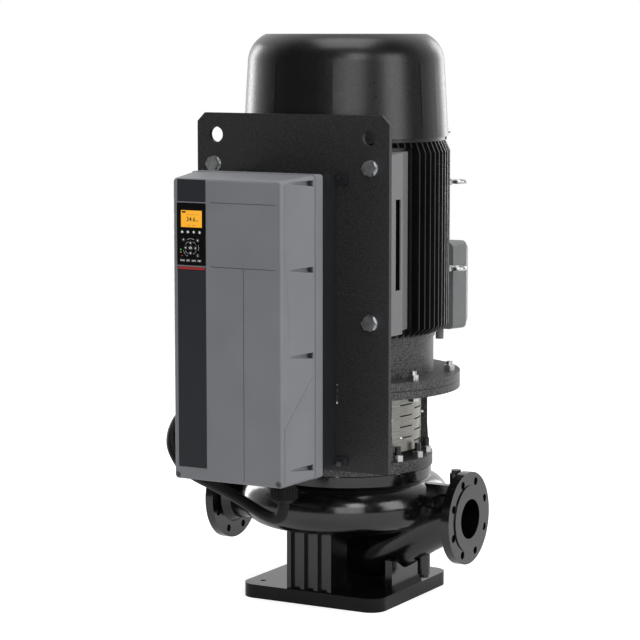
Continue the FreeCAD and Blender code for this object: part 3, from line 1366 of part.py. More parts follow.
panels = [strip_panel(mm("panel_high") + 1, mm("strip_high") - mm("seat_gap"), strip_face, 1),
          strip_panel(mm("strip_low") + mm("seat_gap"), mm("stripe_low") - mm("seat_gap"), strip_face, 1),
          strip_panel(mm("stripe_low"), mm("panel_low") - 1, strip_face, 0.5)]
node(shaped("trim_panels_shape", Part.makeCompound(panels)), "trim_panels")

# Operator panel: a plate in the strip with pockets for its sixteen push keys and
# a bay for the display window.
size("key_travel", 0.8)
size("key_gap", 0.3)
size("key_proud", 1.6)
size("key_root", 4)
size("menu_x", -113.5)
size("menu_pitch", 15.2)
size("menu_z", 909.5)
size("menu_reach", 4.5)
size("pad_x", -91.8)
size("pad_z", 874.2)
size("pad_step_x", 13.1)
size("pad_step_z", 11.6)
size("ok_reach", 5.5)
size("arrow_reach", 4.4)
size("back_z", 892)
size("back_x", -110.3)
size("cancel_x", -73.2)
size("info_x", -73.2)
size("info_z", 858)
size("mode_x", -113)
size("mode_pitch", 14.8)
size("mode_z", 846)
size("mode_reach", 5.5)
size("mode_tall", 3.5)

menu_names = ("key_menu_1", "key_menu_2", "key_menu_3", "key_menu_4")
mode_names = ("key_mode_1", "key_mode_2", "key_mode_3", "key_mode_4")
round_keys = [("key_back", "back_x", "back_z", "menu_reach"), ("key_cancel", "cancel_x", "back_z", "menu_reach"),
              ("key_info", "info_x", "info_z", "menu_reach"), ("key_ok", "pad_x", "pad_z", "ok_reach"),
              ("key_up", "pad_x", "pad_z + pad_step_z", "arrow_reach"),
              ("key_down", "pad_x", "pad_z - pad_step_z", "arrow_reach"),
              ("key_left", "pad_x - pad_step_x", "pad_z", "arrow_reach"),
              ("key_right", "pad_x + pad_step_x", "pad_z", "arrow_reach")]
for rank, name in enumerate(menu_names):
    round_keys.append((name, "menu_x + %d * menu_pitch" % rank, "menu_z", "menu_reach"))

panel_plate = block("strip_right - strip_left - 2 * seat_gap", "panel_face - cover_front + strip_deep - seat_gap",
                    "panel_high - panel_low", "strip_left + seat_gap", "-panel_face", "panel_low")
panel_back = block("strip_right - strip_left - 6", "key_root + 2", "panel_high - panel_low - 6",
                   "strip_left + 3", "-cover_front + strip_deep - seat_gap - 2", "panel_low + 3")
bay = block("display_right - display_left", "4", "display_high - display_low", "display_left",
            "-panel_face - 1", "display_low")
pockets = [bay]
pocket_deep = "key_root + key_travel + 1.2"
keys = []
for name, key_x, key_z, reach in round_keys:
    pockets.append(rod(reach + " + key_gap", pocket_deep, key_x, "-panel_face", key_z, "y"))
    keys.append((name, rod(reach, "key_root + key_proud", key_x, "-panel_face - key_proud", key_z, "y")))
for rank, name in enumerate(mode_names):
    middle = "mode_x + %d * mode_pitch" % rank
    pockets.append(block("2 * (mode_reach + key_gap)", pocket_deep, "2 * (mode_tall + key_gap)",
                         middle + " - mode_reach - key_gap", "-panel_face", "mode_z - mode_tall - key_gap"))
    keys.append((name, block("2 * mode_reach", "key_root + key_proud", "2 * mode_tall",
                             middle + " - mode_reach", "-panel_face - key_proud", "mode_z - mode_tall")))
node(cut(fused(panel_plate, panel_back), *pockets), "operator_panel")
node(block("display_right - display_left - 2 * seat_gap", "2.5", "display_high - display_low - 2 * seat_gap",
           "display_left + seat_gap", "-panel_face - 0.2", "display_low + seat_gap"), "display_window")
for name, key in keys:
    node(key, name)

# Cable glands: one under the drive, one under the terminal box, each a threaded
# neck, a hexagon and a ribbed cap. The cable runs through their bores.
size("gland_low", 303)
size("gland_top", 354.6)
size("box_gland_low", 566)
size("gland_ribs", 24)


def gland(x, y, top, low, cap):
    """One gland hanging from top down to low, with a cap radius."""
    tall = top - low
    neck_part = upright(cap * 0.72, top - 6, top + 6, x, y)
    nut = Part.Face(Part.makePolygon([
        FreeCAD.Vector(x + cap * math.cos(math.radians(60 * rank)), y + cap * math.sin(math.radians(60 * rank)),
                       top - tall * 0.32) for rank in range(7)])).extrude(FreeCAD.Vector(0, 0, tall * 0.32 - 0.5))
    barrel = upright(cap * 0.94, low + 9, top - tall * 0.32, x, y)
    nose = Part.makeCone(mm("cable_od") / 2 + 5, cap * 0.94, 9, FreeCAD.Vector(x, y, low), FreeCAD.Vector(0, 0, 1))
    ribs = []
    for rank in range(int(mm("gland_ribs"))):
        turn = 2 * math.pi * rank / mm("gland_ribs")
        ribs.append(upright(1.6, low + 10, top - tall * 0.34, x + cap * 0.95 * math.cos(turn),
                            y + cap * 0.95 * math.sin(turn)))
    bore = upright(mm("cable_od") / 2 + mm("running_gap"), low - 1, top + 7, x, y)
    flare = Part.makeCone(mm("cable_od") / 2 + 3, mm("cable_od") / 2, 18, FreeCAD.Vector(x, y, low - 1),
                          FreeCAD.Vector(0, 0, 1))
    return neck_part.multiFuse([nut, barrel, nose] + ribs).cut([bore, flare])


glands = [gland(mm("drive_gland_x"), mm("drive_gland_y"), mm("gland_top"), mm("gland_low"), mm("drive_gland_od") / 2),
          gland(mm("gland_x"), mm("gland_y") - 10, mm("box_low"), mm("box_gland_low"), 24)]
node(shaped("cable_glands_shape", Part.makeCompound(glands)), "cable_glands")

# Motor cable: from the drive's gland in a free loop round the motor to the
# terminal box. The route's points are chosen by hand; straights join as arcs.
route = [
    (93, -460, 318), (92, -459.5, 279), (74, -455, 262), (40, -447, 265), (-5, -437, 280),
    (-60, -423, 298), (-125, -405, 314), (-185, -388, 326), (-238, -372, 345), (-284, -345, 392),
    (-296, -290, 440), (-298, -210, 462), (-296, -118, 450), (-294, -20, 430), (-284, 75, 414),
    (-258, 155, 404), (-216, 215, 402), (-166, 255, 410), (-124, 275, 434), (-96, 284, 470),
    (-81, 289, 516), (-80, 290, 580),
]


def cable(points, radius):
    """A round cable along a route of straights joined by arcs; also gives its length."""
    spots = [FreeCAD.Vector(*point) for point in points]
    pieces = []
    here = spots[0]
    length = 0
    for rank in range(1, len(spots) - 1):
        before = (spots[rank] - spots[rank - 1])
        after = (spots[rank + 1] - spots[rank])
        trim = 0.45 * min(before.Length, after.Length)
        start = spots[rank] - before * (trim / before.Length)
        end = spots[rank] + after * (trim / after.Length)
        bow = before.getAngle(after)
        middle = (start + end) * 0.5
        inward = middle - spots[rank]
        arc_radius = trim / math.tan(bow / 2)
        hub = spots[rank] + inward * (1 / inward.Length) * math.hypot(trim, arc_radius)
        top_point = hub + (spots[rank] - hub) * (arc_radius / (spots[rank] - hub).Length)
        pieces.append(Part.makeLine(here, start))
        arc = Part.Arc(start, top_point, end).toShape()
        pieces.append(arc)
        length += (start - here).Length + arc.Length
        here = end
    pieces.append(Part.makeLine(here, spots[-1]))
    length += (spots[-1] - here).Length
    spine = Part.Wire(pieces)
    ring = Part.Wire([Part.makeCircle(radius, spots[0], spots[1] - spots[0])])
    return spine.makePipeShell([ring], True, True), length


cable_solid, cable_long = cable(route, mm("cable_od") / 2)
print("cable", cable_solid.isValid(), len(cable_solid.Solids), "length", round(cable_long),
      "volume ratio", round(cable_solid.Volume / (cable_long * math.pi * (mm("cable_od") / 2) ** 2), 4))
node(shaped("motor_cable_shape", cable_solid), "motor_cable")

# Coupling: two clamped half shells over both shaft ends, with four clamp screws.
size("coupling_od", 124)
size("coupling_low", 345)
size("coupling_high", 500)
size("coupling_step", 379)
size("coupling_split", 3)
size("clamp_screw", 10)
size("clamp_screw_y", 48)
size("clamp_low", 366)
size("clamp_high", 470)


def coupling_half(side):
    """One half shell of the coupling, flat where the other half faces it."""
    tube = turned_shape([
        (mm("pump_shaft_size") / 2 + mm("running_gap"), mm("coupling_low")),
        (mm("coupling_od") / 2, mm("coupling_low")), (mm("coupling_od") / 2, mm("coupling_high")),
        (mm("motor_shaft_size") / 2 + mm("running_gap"), mm("coupling_high")),
        (mm("motor_shaft_size") / 2 + mm("running_gap"), mm("coupling_step")),
        (mm("pump_shaft_size") / 2 + mm("running_gap"), mm("coupling_step"))])
    flat = side * mm("coupling_split") / 2
    far = side * mm("coupling_od")
    room = slab_box(min(flat, far), max(flat, far), -mm("coupling_od"), mm("coupling_od"),
                    mm("coupling_low") - 1, mm("coupling_high") + 1)
    half = tube.common(room)
    holes = []
    for y in (-mm("clamp_screw_y"), mm("clamp_screw_y")):
        for height in (mm("clamp_low"), mm("clamp_high")):
            holes.append(Part.makeCylinder(mm("clamp_screw") / 2 + mm("running_gap"), 2 * mm("coupling_od"),
                                           FreeCAD.Vector(-mm("coupling_od"), y, height),
                                           FreeCAD.Vector(1, 0, 0)))
            seat = FreeCAD.Vector(side * 26, y, height)
            holes.append(Part.makeCylinder(mm("clamp_screw"), 60, seat, FreeCAD.Vector(side, 0, 0)))
    return half.cut(holes)


halves = [coupling_half(-1), coupling_half(1)]
node(shaped("coupling_halves_shape", Part.makeCompound(halves)), "coupling_halves")
clamp_screws = []
for y in ("-clamp_screw_y", "clamp_screw_y"):
    for height in ("clamp_low", "clamp_high"):
        shank = rod("clamp_screw / 2", "52", "-26", y, height, "x")
        head = rod("clamp_screw * 0.8", "10", "-36", y, height, "x")
        nut = hexagon("16", "8", "26", y, height, "x")
        clamp_screws.append(fused(shank, head, nut))
node(group(*clamp_screws), "coupling_screws")

# Pump shaft: it hangs from the coupling and carries the seal ring and impeller.
size("impeller_seat", 38)
size("shaft_shoulder", 258)
size("shaft_thread", 24)
size("thread_high", 205)
size("pump_shaft_low", 184)
size("nut_low", 185)
node(turned("pump_shaft", [
    ("0", "pump_shaft_low"), ("shaft_thread / 2", "pump_shaft_low"), ("shaft_thread / 2", "thread_high"),
    ("impeller_seat / 2", "thread_high"), ("impeller_seat / 2", "shaft_shoulder"),
    ("pump_shaft_size / 2", "shaft_shoulder"), ("pump_shaft_size / 2", "coupling_step"),
    ("0", "coupling_step")]), "pump_shaft")

# Impeller: a shrouded radial wheel, with curved blades between its two plates.
size("impeller_od", 260)
size("hub_plate_low", 236)
size("hub_plate_high", 243)
size("shroud_out", 218)
size("eye_lip_low", 186)
size("vane_count", 6)
size("vane_thick", 5)
size("vane_sweep", 95)
size("vane_start", 40)


def impeller():
    """Hub plate, eye shroud and backward-curved vanes as one casting."""
    seat = mm("impeller_seat") / 2 + mm("running_gap")
    tip = mm("impeller_od") / 2
    eye_in = mm("eye_bore") / 2 - 8
    hub = turned_shape([(seat, mm("thread_high")), (32, mm("thread_high")), (36, 222),
                        (60, mm("hub_plate_low")), (tip, mm("hub_plate_low")), (tip, mm("hub_plate_high")),
                        (34, mm("hub_plate_high")), (30, mm("shaft_shoulder")), (seat, mm("shaft_shoulder"))])
    lip = mm("eye_bore") / 2 - 0.5
    shroud = turned_shape([(eye_in, mm("eye_lip_low")), (lip, mm("eye_lip_low")), (lip, 201), (tip, 212),
                           (tip, mm("shroud_out")), (lip + 6, 208), (eye_in, 201)])
    vanes = []
    for rank in range(int(mm("vane_count"))):
        inner = []
        outer_side = []
        for step in range(9):
            share = step / 8
            reach = mm("vane_start") + (tip - 0.5 - mm("vane_start")) * share
            turn = math.radians(mm("vane_sweep")) * share ** 0.8 + 2 * math.pi * rank / mm("vane_count")
            half = mm("vane_thick") / 2 / reach / 0.6
            inner.append(FreeCAD.Vector(reach * math.cos(turn - half), reach * math.sin(turn - half), 198))
            outer_side.append(FreeCAD.Vector(reach * math.cos(turn + half), reach * math.sin(turn + half), 198))
        near = Part.BSplineCurve()
        near.interpolate(inner)
        far = Part.BSplineCurve()
        far.interpolate(outer_side)
        rim = [near.toShape(), Part.makeLine(inner[-1], outer_side[-1]), far.toShape(),
               Part.makeLine(outer_side[0], inner[0])]
        vane = Part.Face(Part.Wire(Part.sortEdges(rim)[0])).extrude(FreeCAD.Vector(0, 0, 42))
        vanes.append(vane)
    envelope = turned_shape([(36, 199), (lip, 204), (tip, 215), (tip, mm("hub_plate_low") + 2),
                             (58, mm("hub_plate_low") + 2), (34, 222)])
    vanes = [vane.common(envelope) for vane in vanes]
    return hub.multiFuse([shroud] + vanes)


wheel = impeller()
node(shaped("impeller_shape", wheel), "impeller")
nut_body = hexagon("36", "thread_high - nut_low - 1", "0", "0", "nut_low")
nut_bore = rod("shaft_thread / 2 + running_gap", "40", "0", "0", "nut_low - 5")
node(cut(nut_body, nut_bore), "impeller_nut")

# Heat sink fan: a small axial fan in the pocket under the drive.
size("sink_fan_hub", 20)
size("sink_fan_low", 365)
size("sink_fan_tall", 22)
size("sink_blades", 7)


def sink_fan():
    """Hub with pitched blades, each a thin plate turned about its own spoke."""
    centre = FreeCAD.Vector(0, mm("sink_fan_y"), mm("sink_fan_low"))
    hub = Part.makeCylinder(mm("sink_fan_hub"), mm("sink_fan_tall"), centre, FreeCAD.Vector(0, 0, 1))
    reach = mm("sink_fan_od") / 2
    blades_made = []
    for rank in range(int(mm("sink_blades"))):
        blade = slab_box(mm("sink_fan_hub") - 2, reach - 1, -11, 11, -1, 1)
        blade.rotate(FreeCAD.Vector(), FreeCAD.Vector(1, 0, 0), 38)
        blade.rotate(FreeCAD.Vector(), FreeCAD.Vector(0, 0, 1), 360 * rank / mm("sink_blades"))
        blade.translate(centre + FreeCAD.Vector(0, 0, mm("sink_fan_tall") / 2))
        blades_made.append(blade)
    bore = Part.makeCylinder(mm("sink_axle") / 2 + mm("running_gap"), mm("sink_fan_tall") + 2, centre - FreeCAD.Vector(0, 0, 1),
                             FreeCAD.Vector(0, 0, 1))
    return hub.multiFuse(blades_made).cut([bore])


node(shaped("heatsink_fan_shape", sink_fan()), "heatsink_fan")

node(shaped("small_screws_shape", Part.makeCompound([socket_screw(*spot) for spot in screw_spots])),
     "small_screws")

doc.recompute()
for feature in doc.Objects:
    if "Invalid" in feature.State or "Error" in feature.State:
        raise SystemExit("failed: %s %s" % (feature.Label, feature.State))
for part in nodes:
    if part.Shape.isNull() or not part.Shape.isValid():
        raise SystemExit("bad shape: " + part.Label)
    part.Shape.exportStep("parts/%s.step" % part.Label)
print(len(nodes), "sub-parts")
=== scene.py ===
import math
import bpy
import bmesh
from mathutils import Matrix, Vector


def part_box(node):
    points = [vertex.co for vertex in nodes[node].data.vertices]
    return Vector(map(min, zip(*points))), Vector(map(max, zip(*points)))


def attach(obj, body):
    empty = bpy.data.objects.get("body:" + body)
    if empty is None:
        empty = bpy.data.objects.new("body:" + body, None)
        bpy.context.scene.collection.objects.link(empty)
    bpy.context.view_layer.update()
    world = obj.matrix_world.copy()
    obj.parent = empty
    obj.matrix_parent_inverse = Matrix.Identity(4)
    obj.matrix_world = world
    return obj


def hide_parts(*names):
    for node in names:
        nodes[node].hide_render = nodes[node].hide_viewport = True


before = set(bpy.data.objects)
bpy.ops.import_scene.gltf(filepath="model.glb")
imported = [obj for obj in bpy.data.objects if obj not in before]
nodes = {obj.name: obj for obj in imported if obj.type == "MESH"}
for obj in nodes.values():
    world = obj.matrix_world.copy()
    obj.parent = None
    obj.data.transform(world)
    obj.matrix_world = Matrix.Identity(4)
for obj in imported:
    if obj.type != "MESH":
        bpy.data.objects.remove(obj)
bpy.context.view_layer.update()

# Camera: a long lens level with the top of the fan cowl, at the photograph's viewing
# angle. It stands right of the drive's front and looks down by seven degrees.
tilt = 83.07
turn_right = 29.15
view = bpy.data.cameras.new("studio_camera")
view.sensor_width = 36
view.lens = 134.8
view.clip_end = 60
camera = bpy.data.objects.new("studio_camera", view)
bpy.context.scene.collection.objects.link(camera)
camera.location = (2.7326, -5.0270, 1.3559)
camera.rotation_euler = (math.radians(tilt), 0, math.radians(turn_right))
bpy.context.scene.camera = camera
bpy.context.scene.view_settings.view_transform = "Standard"


# Motor cable: an oil-proof rubber hose cable with a 26 mm sheath. It leaves the
# drive's gland downwards, swings round the motor and rises into the terminal box.
def linear(code):
    """An sRGB hex colour as the linear values that a shader reads."""
    values = [int(code[spot:spot + 2], 16) / 255 for spot in (1, 3, 5)]
    return tuple(v / 12.92 if v <= 0.04045 else ((v + 0.055) / 1.055) ** 2.4 for v in values) + (1.0,)


def add(tree, kind, inputs=None, **settings):
    """Adds a shader node with its settings; an input is a value or another node's output."""
    node = tree.nodes.new(kind)
    for name, value in settings.items():
        setattr(node, name, value)
    for name, value in (inputs or {}).items():
        if isinstance(value, bpy.types.NodeSocket):
            tree.links.new(value, node.inputs[name])
        else:
            node.inputs[name].default_value = value
    return node


def maths(tree, operation, *values):
    """The result of one sum or test on up to three numbers or outputs."""
    return add(tree, "ShaderNodeMath", dict(enumerate(values)), operation=operation).outputs[0]


def axes_of(tree, place):
    """The X, Y and Z outputs of a place."""
    return add(tree, "ShaderNodeSeparateXYZ", {0: place}).outputs


def surface(name, code, roughness, metallic=0.0, **more):
    """A material with its main values set; returns it, its tree, its shader and a place on the piece."""
    material = bpy.data.materials.new(name)
    material.use_nodes = True
    tree = material.node_tree
    shader = tree.nodes["Principled BSDF"]
    shader.inputs["Base Color"].default_value = linear(code)
    shader.inputs["Roughness"].default_value = roughness
    shader.inputs["Metallic"].default_value = metallic
    for title, value in more.items():
        shader.inputs[title.replace("_", " ").title().replace("Ior", "IOR")].default_value = value
    place = add(tree, "ShaderNodeTexCoord").outputs["Object"]
    return material, tree, shader, place


def grain(tree, place, size_mm, detail=2.0, stretch=None):
    """The value of a noise whose lumps are about size_mm across."""
    if stretch:
        place = add(tree, "ShaderNodeVectorMath", {0: place, 1: stretch}, operation="MULTIPLY").outputs[0]
    noise = add(tree, "ShaderNodeTexNoise", {"Vector": place, "Scale": 1000 / size_mm, "Detail": detail})
    return noise.outputs["Fac"]


def relief(tree, shader, height, deep_mm, strength=1.0):
    """Lets a height pattern stand up from the surface by deep_mm."""
    bump = add(tree, "ShaderNodeBump", {"Height": height, "Distance": deep_mm / 1000, "Strength": strength})
    tree.links.new(bump.outputs["Normal"], shader.inputs["Normal"])


def tones(tree, shader, mask, low, high, start=0.35, end=0.65):
    """Two shades of one finish that drift into each other along a mask."""
    ramp = add(tree, "ShaderNodeValToRGB", {"Fac": mask})
    for stop, position, code in zip(ramp.color_ramp.elements, (start, end), (low, high)):
        stop.position = position
        stop.color = linear(code)
    tree.links.new(ramp.outputs["Color"], shader.inputs["Base Color"])


def sheen_range(tree, shader, mask, low, high):
    """Roughness that drifts between two values along a mask."""
    spread = add(tree, "ShaderNodeMapRange", {"Value": mask, "From Min": 0.3, "From Max": 0.7,
                                              "To Min": low, "To Max": high})
    tree.links.new(spread.outputs["Result"], shader.inputs["Roughness"])


def dress(name, material, crease=32):
    """Gives a CAD node its finish and smooth shading up to a crease angle."""
    piece = nodes[name]
    piece.data.materials.clear()
    piece.data.materials.append(material)
    piece.data.shade_smooth()
    piece.data.set_sharp_from_angle(angle=math.radians(crease))
    return piece


def rubber_sheath():
    """Extruded rubber: matte black with a faint fine grain."""
    material, tree, shader, place = surface("rubber_sheath", "#0c0c0d", 0.55, ior=1.5,
                                            specular_ior_level=0.25)
    lumps = grain(tree, place, 1.4, 4)
    tones(tree, shader, grain(tree, place, 60), "#0a0a0b", "#141415")
    sheen_range(tree, shader, lumps, 0.45, 0.65)
    relief(tree, shader, lumps, 0.08)
    return material


sheath_radius = 0.013
cable_route = [
    (93, -460, 318), (92, -459.5, 279), (74, -455, 262), (40, -447, 265), (-5, -437, 280),
    (-60, -423, 298), (-125, -405, 314), (-185, -388, 326), (-238, -372, 345), (-284, -345, 392),
    (-296, -290, 440), (-298, -210, 462), (-296, -118, 450), (-294, -20, 430), (-284, 75, 414),
    (-258, 155, 404), (-216, 215, 402), (-166, 255, 410), (-124, 275, 434), (-96, 284, 470),
    (-81, 289, 516), (-80, 290, 580),
]
cable_curve = bpy.data.curves.new("motor_cable_run", "CURVE")
cable_curve.dimensions = "3D"
cable_curve.bevel_depth = sheath_radius
cable_curve.bevel_resolution = 6
cable_curve.resolution_u = 10
cable_curve.use_fill_caps = True
run = cable_curve.splines.new("NURBS")
run.points.add(len(cable_route) - 1)
for point, spot in zip(run.points, cable_route):
    point.co = (spot[0] / 1000, spot[1] / 1000, spot[2] / 1000, 1)
run.order_u = 3
run.use_endpoint_u = True
cable_curve.materials.append(rubber_sheath())
cable = bpy.data.objects.new("motor_cable_run", cable_curve)
bpy.context.scene.collection.objects.link(cable)
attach(cable, "pump")
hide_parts("motor_cable")


# Cable glands: moulded black polyamide, with a hexagon to turn and a ribbed cap
# that clamps the sheath. One hangs under the drive, one under the terminal box.
def moulded_polyamide():
    """Moulded black nylon: satin, with a fine even grain."""
    material, tree, shader, place = surface("moulded_polyamide", "#0a0a0b", 0.46, ior=1.53,
                                            specular_ior_level=0.15)
    fine = grain(tree, place, 0.9, 3)
    sheen_range(tree, shader, fine, 0.36, 0.5)
    relief(tree, shader, fine, 0.05)
    return material


dress("cable_glands", moulded_polyamide())


# Studio: a pale matte floor, a white backdrop, and soft boxes over, before, beside
# and behind the pump. The backdrop is white by itself, whatever the lamps give.
floor_glow_seen = 0.72
floor_glow_mirrored = 0.3
reach = 4.6
under_plate = 0.0005


def seen_by(tree):
    """The rays of a tree: whether the camera sees the spot itself, and whether a mirror does."""
    rays = add(tree, "ShaderNodeLightPath").outputs
    return maths(tree, "MAXIMUM", rays["Is Camera Ray"], rays["Is Transmission Ray"]), rays["Is Glossy Ray"]


def backdrop_white(name, base):
    """Matte white card: lit plainly, and white to the camera and in reflections."""
    material, tree, shader = surface(name, base, 0.9, specular_ior_level=0.0)[:3]
    seen, glossy = seen_by(tree)
    mirrored = maths(tree, "MULTIPLY", glossy, floor_glow_mirrored)
    shader.inputs["Emission Color"].default_value = (1, 1, 1, 1)
    tree.links.new(maths(tree, "MULTIPLY_ADD", seen, floor_glow_seen, mirrored),
                   shader.inputs["Emission Strength"])
    return material


floor_mesh = bpy.data.meshes.new("studio_floor")
floor_mesh.from_pydata([(-reach, -reach, 0), (reach, -reach, 0), (reach, reach, 0), (-reach, reach, 0)],
                       [], [(0, 1, 2, 3)])
floor_mesh.materials.append(backdrop_white("studio_floor", "#d8d8d8"))
floor = bpy.data.objects.new("studio_floor", floor_mesh)
floor.location.z = -under_plate
bpy.context.scene.collection.objects.link(floor)

# The sky is white to the camera and an even grey light on the pump. Reflections see it
# bright behind the pump and dark before it, as in a room with one white wall.
sky_light = 0.34
white_wall = (-0.45, 0.89, 0.0)
wall_fades = {"From Min": -0.1, "From Max": 0.6, "To Min": 0.1, "To Max": 1.0}
world = bpy.data.worlds.new("studio_world")
bpy.context.scene.world = world
world.use_nodes = True
sky = world.node_tree
seen, mirrored = seen_by(sky)
heading = add(sky, "ShaderNodeTexCoord").outputs["Generated"]
behind = add(sky, "ShaderNodeVectorMath", {0: heading, 1: white_wall}, operation="DOT_PRODUCT")
sweep = add(sky, "ShaderNodeMapRange", {"Value": behind.outputs["Value"], **wall_fades},
            interpolation_type="SMOOTHSTEP")
glow = add(sky, "ShaderNodeMix", {"Factor": mirrored, "A": sky_light, "B": sweep.outputs["Result"]},
           data_type="FLOAT")
level = add(sky, "ShaderNodeMix", {"Factor": seen, "A": glow.outputs["Result"], "B": 1.0},
            data_type="FLOAT")
sky.nodes["Background"].inputs["Color"].default_value = (1, 1, 1, 1)
sky.links.new(level.outputs["Result"], sky.nodes["Background"].inputs["Strength"])


def soft_box(name, spot, aim, wide, tall, brightness):
    """A rectangular soft box that stands at spot, faces aim and glows evenly."""
    lamp = bpy.data.lights.new(name, "AREA")
    lamp.shape = "RECTANGLE"
    lamp.size = wide
    lamp.size_y = tall
    lamp.energy = brightness * math.pi * wide * tall
    box = bpy.data.objects.new(name, lamp)
    box.location = spot
    box.rotation_euler = (Vector(spot) - Vector(aim)).to_track_quat("Z", "Y").to_euler()
    bpy.context.scene.collection.objects.link(box)


soft_box("box_top", (0.3, -0.6, 4.0), (0, 0, 0.8), 2.2, 2.2, 3.4)
soft_box("box_high", (3.4, -3.9, 3.7), (0, 0, 0.5), 1.8, 1.8, 5.0)
soft_box("box_right", (4.4, -0.5, 2.0), (0, 0, 0.8), 1.9, 2.8, 3.6)
soft_box("box_front", (3.54, -5.45, 1.7), (0, 0, 0.7), 3.6, 3.2, 2.4)
soft_box("box_rim_left", (-3.9, 1.4, 1.3), (0, 0, 0.8), 1.1, 3.0, 6.0)
soft_box("box_rim_right", (0.3, 4.4, 1.5), (0, 0, 0.8), 1.6, 3.0, 3.0)


# Base plate: a cast iron plate with rounded corners, enamelled black in a satin
# finish. Sand casting leaves its face a little uneven under the paint.
def satin_enamel():
    """Satin black enamel over sand-cast iron: soft glow, with low casting waves."""
    material, tree, shader, place = surface("satin_enamel", "#090909", 0.17, ior=1.5,
                                            specular_ior_level=0.2)
    waves = grain(tree, place, 9, 3)
    tones(tree, shader, grain(tree, place, 90), "#0a0a0b", "#0f0f10")
    sheen_range(tree, shader, waves, 0.14, 0.22)
    relief(tree, shader, waves, 0.12, 0.4)
    return material


dress("base_plate", satin_enamel())


# Zinc-plated fasteners: socket screws, hexagon bolts and nuts, plugs and the
# lifting eyes are forged steel with a pale, slightly mottled zinc coat.
def zinc_plate():
    """Electroplated zinc: pale grey metal with cloudy, half-dull patches."""
    material, tree, shader, place = surface("zinc_plate", "#cbcccd", 0.3, 1.0)
    clouds = grain(tree, place, 9, 3)
    tones(tree, shader, clouds, "#bfc0c2", "#d6d7d7")
    sheen_range(tree, shader, clouds, 0.28, 0.34)
    relief(tree, shader, grain(tree, place, 1.2, 3), 0.02, 0.3)
    return material


zinc = zinc_plate()
for name in ("foot_screws", "flange_bolts", "plate_bolts", "lifting_eyes", "coupling_screws"):
    dress(name, zinc)


# The studs' free ends and the plugs are left black, and the screws at the drive are
# browned. They share a node with bright ones, so a height or a depth divides them.
studs_above = 0.3585
plugs_before = 0.04
drive_before = -0.25


def zinc_and_black(name, axis, test, limit, dark="#141415", dark_metal=0.0):
    """The zinc finish, and a dark one where the test of a position against the limit holds."""
    material = zinc.copy()
    material.name = name
    tree = material.node_tree
    shader = tree.nodes["Principled BSDF"]
    place = add(tree, "ShaderNodeTexCoord").outputs["Object"]
    black = maths(tree, test, axes_of(tree, place)[axis], limit)
    bright = shader.inputs["Base Color"].links[0].from_socket
    mix = add(tree, "ShaderNodeMix", {0: black, 6: bright, 7: linear(dark)}, data_type="RGBA")
    tree.links.new(mix.outputs[2], shader.inputs["Base Color"])
    tree.links.new(maths(tree, "MULTIPLY_ADD", black, dark_metal - 1.0, 1.0), shader.inputs["Metallic"])
    return material


dress("stool_studs", zinc_and_black("zinc_nuts_black_studs", "Z", "GREATER_THAN", studs_above))
dress("plugs_and_vent", zinc_and_black("zinc_vent_black_plugs", "Y", "LESS_THAN", plugs_before))
dress("small_screws", zinc_and_black("zinc_and_browned_screws", "Y", "LESS_THAN", drive_before,
                                     "#6a6b6e", 1.0))


# Pump casing and cover: grey cast iron with a thick gloss black enamel that
# levels out the sand texture and mirrors the soft boxes in long streaks.
def gloss_enamel():
    """Gloss black enamel over cast iron: deep black with a slightly wavy gloss."""
    material, tree, shader, place = surface("gloss_enamel", "#0a0a0b", 0.16, ior=1.5,
                                            specular_ior_level=0.7)
    waves = grain(tree, place, 14, 3)
    fine = grain(tree, place, 3, 2)
    both = maths(tree, "MULTIPLY_ADD", fine, 0.25, waves)
    tones(tree, shader, grain(tree, place, 120), "#080809", "#0e0e0f")
    sheen_range(tree, shader, waves, 0.12, 0.22)
    relief(tree, shader, both, 0.2, 0.3)
    return material


enamel = gloss_enamel()
dress("pump_casing", enamel, 40)
dress("pump_cover", enamel)


# Inside the casing: a bronze wear ring, a rubber O-ring, and the shaft seal with a
# steel-cased turning ring that runs on a lapped carbon face.
def turned_metal(name, low, high, roughness):
    """Machined metal: fine concentric tool marks about the shaft axis."""
    material, tree, shader, place = surface(name, high, roughness, 1.0)
    marks = grain(tree, place, 3, 2, (0.15, 0.15, 6.0))
    tones(tree, shader, marks, low, high)
    sheen_range(tree, shader, marks, roughness - 0.06, roughness + 0.08)
    relief(tree, shader, marks, 0.03)
    return material


def lapped_carbon():
    """Lapped carbon graphite: dark grey, dull and very even."""
    material, tree, shader, place = surface("lapped_carbon", "#2a2b2d", 0.5)
    tones(tree, shader, grain(tree, place, 2, 3), "#242527", "#313235")
    relief(tree, shader, grain(tree, place, 1, 2), 0.02)
    return material


def moulded_rubber():
    """Moulded nitrile rubber: matte black."""
    material, tree, shader, place = surface("moulded_rubber", "#101011", 0.6)
    sheen_range(tree, shader, grain(tree, place, 2, 3), 0.52, 0.68)
    relief(tree, shader, grain(tree, place, 1, 2), 0.03)
    return material


steel = turned_metal("turned_steel", "#8f9194", "#b4b6b8", 0.3)
dress("wear_ring", turned_metal("turned_bronze", "#8a6432", "#b0854a", 0.3))
dress("casing_o_ring", moulded_rubber())
dress("seal_seat", lapped_carbon())
dress("seal_ring", steel)


# Motor stool and flange shield: cast iron under a dark grey structured coat that
# keeps the sand grain visible. A fine dark joint line shows where the two discs meet.
joint_half = 0.0012


def cells(tree, place, size_mm):
    """The value of a cell pattern: each cell is about size_mm across and darkest in its middle."""
    return add(tree, "ShaderNodeTexVoronoi", {"Vector": place, "Scale": 1000 / size_mm}).outputs["Distance"]


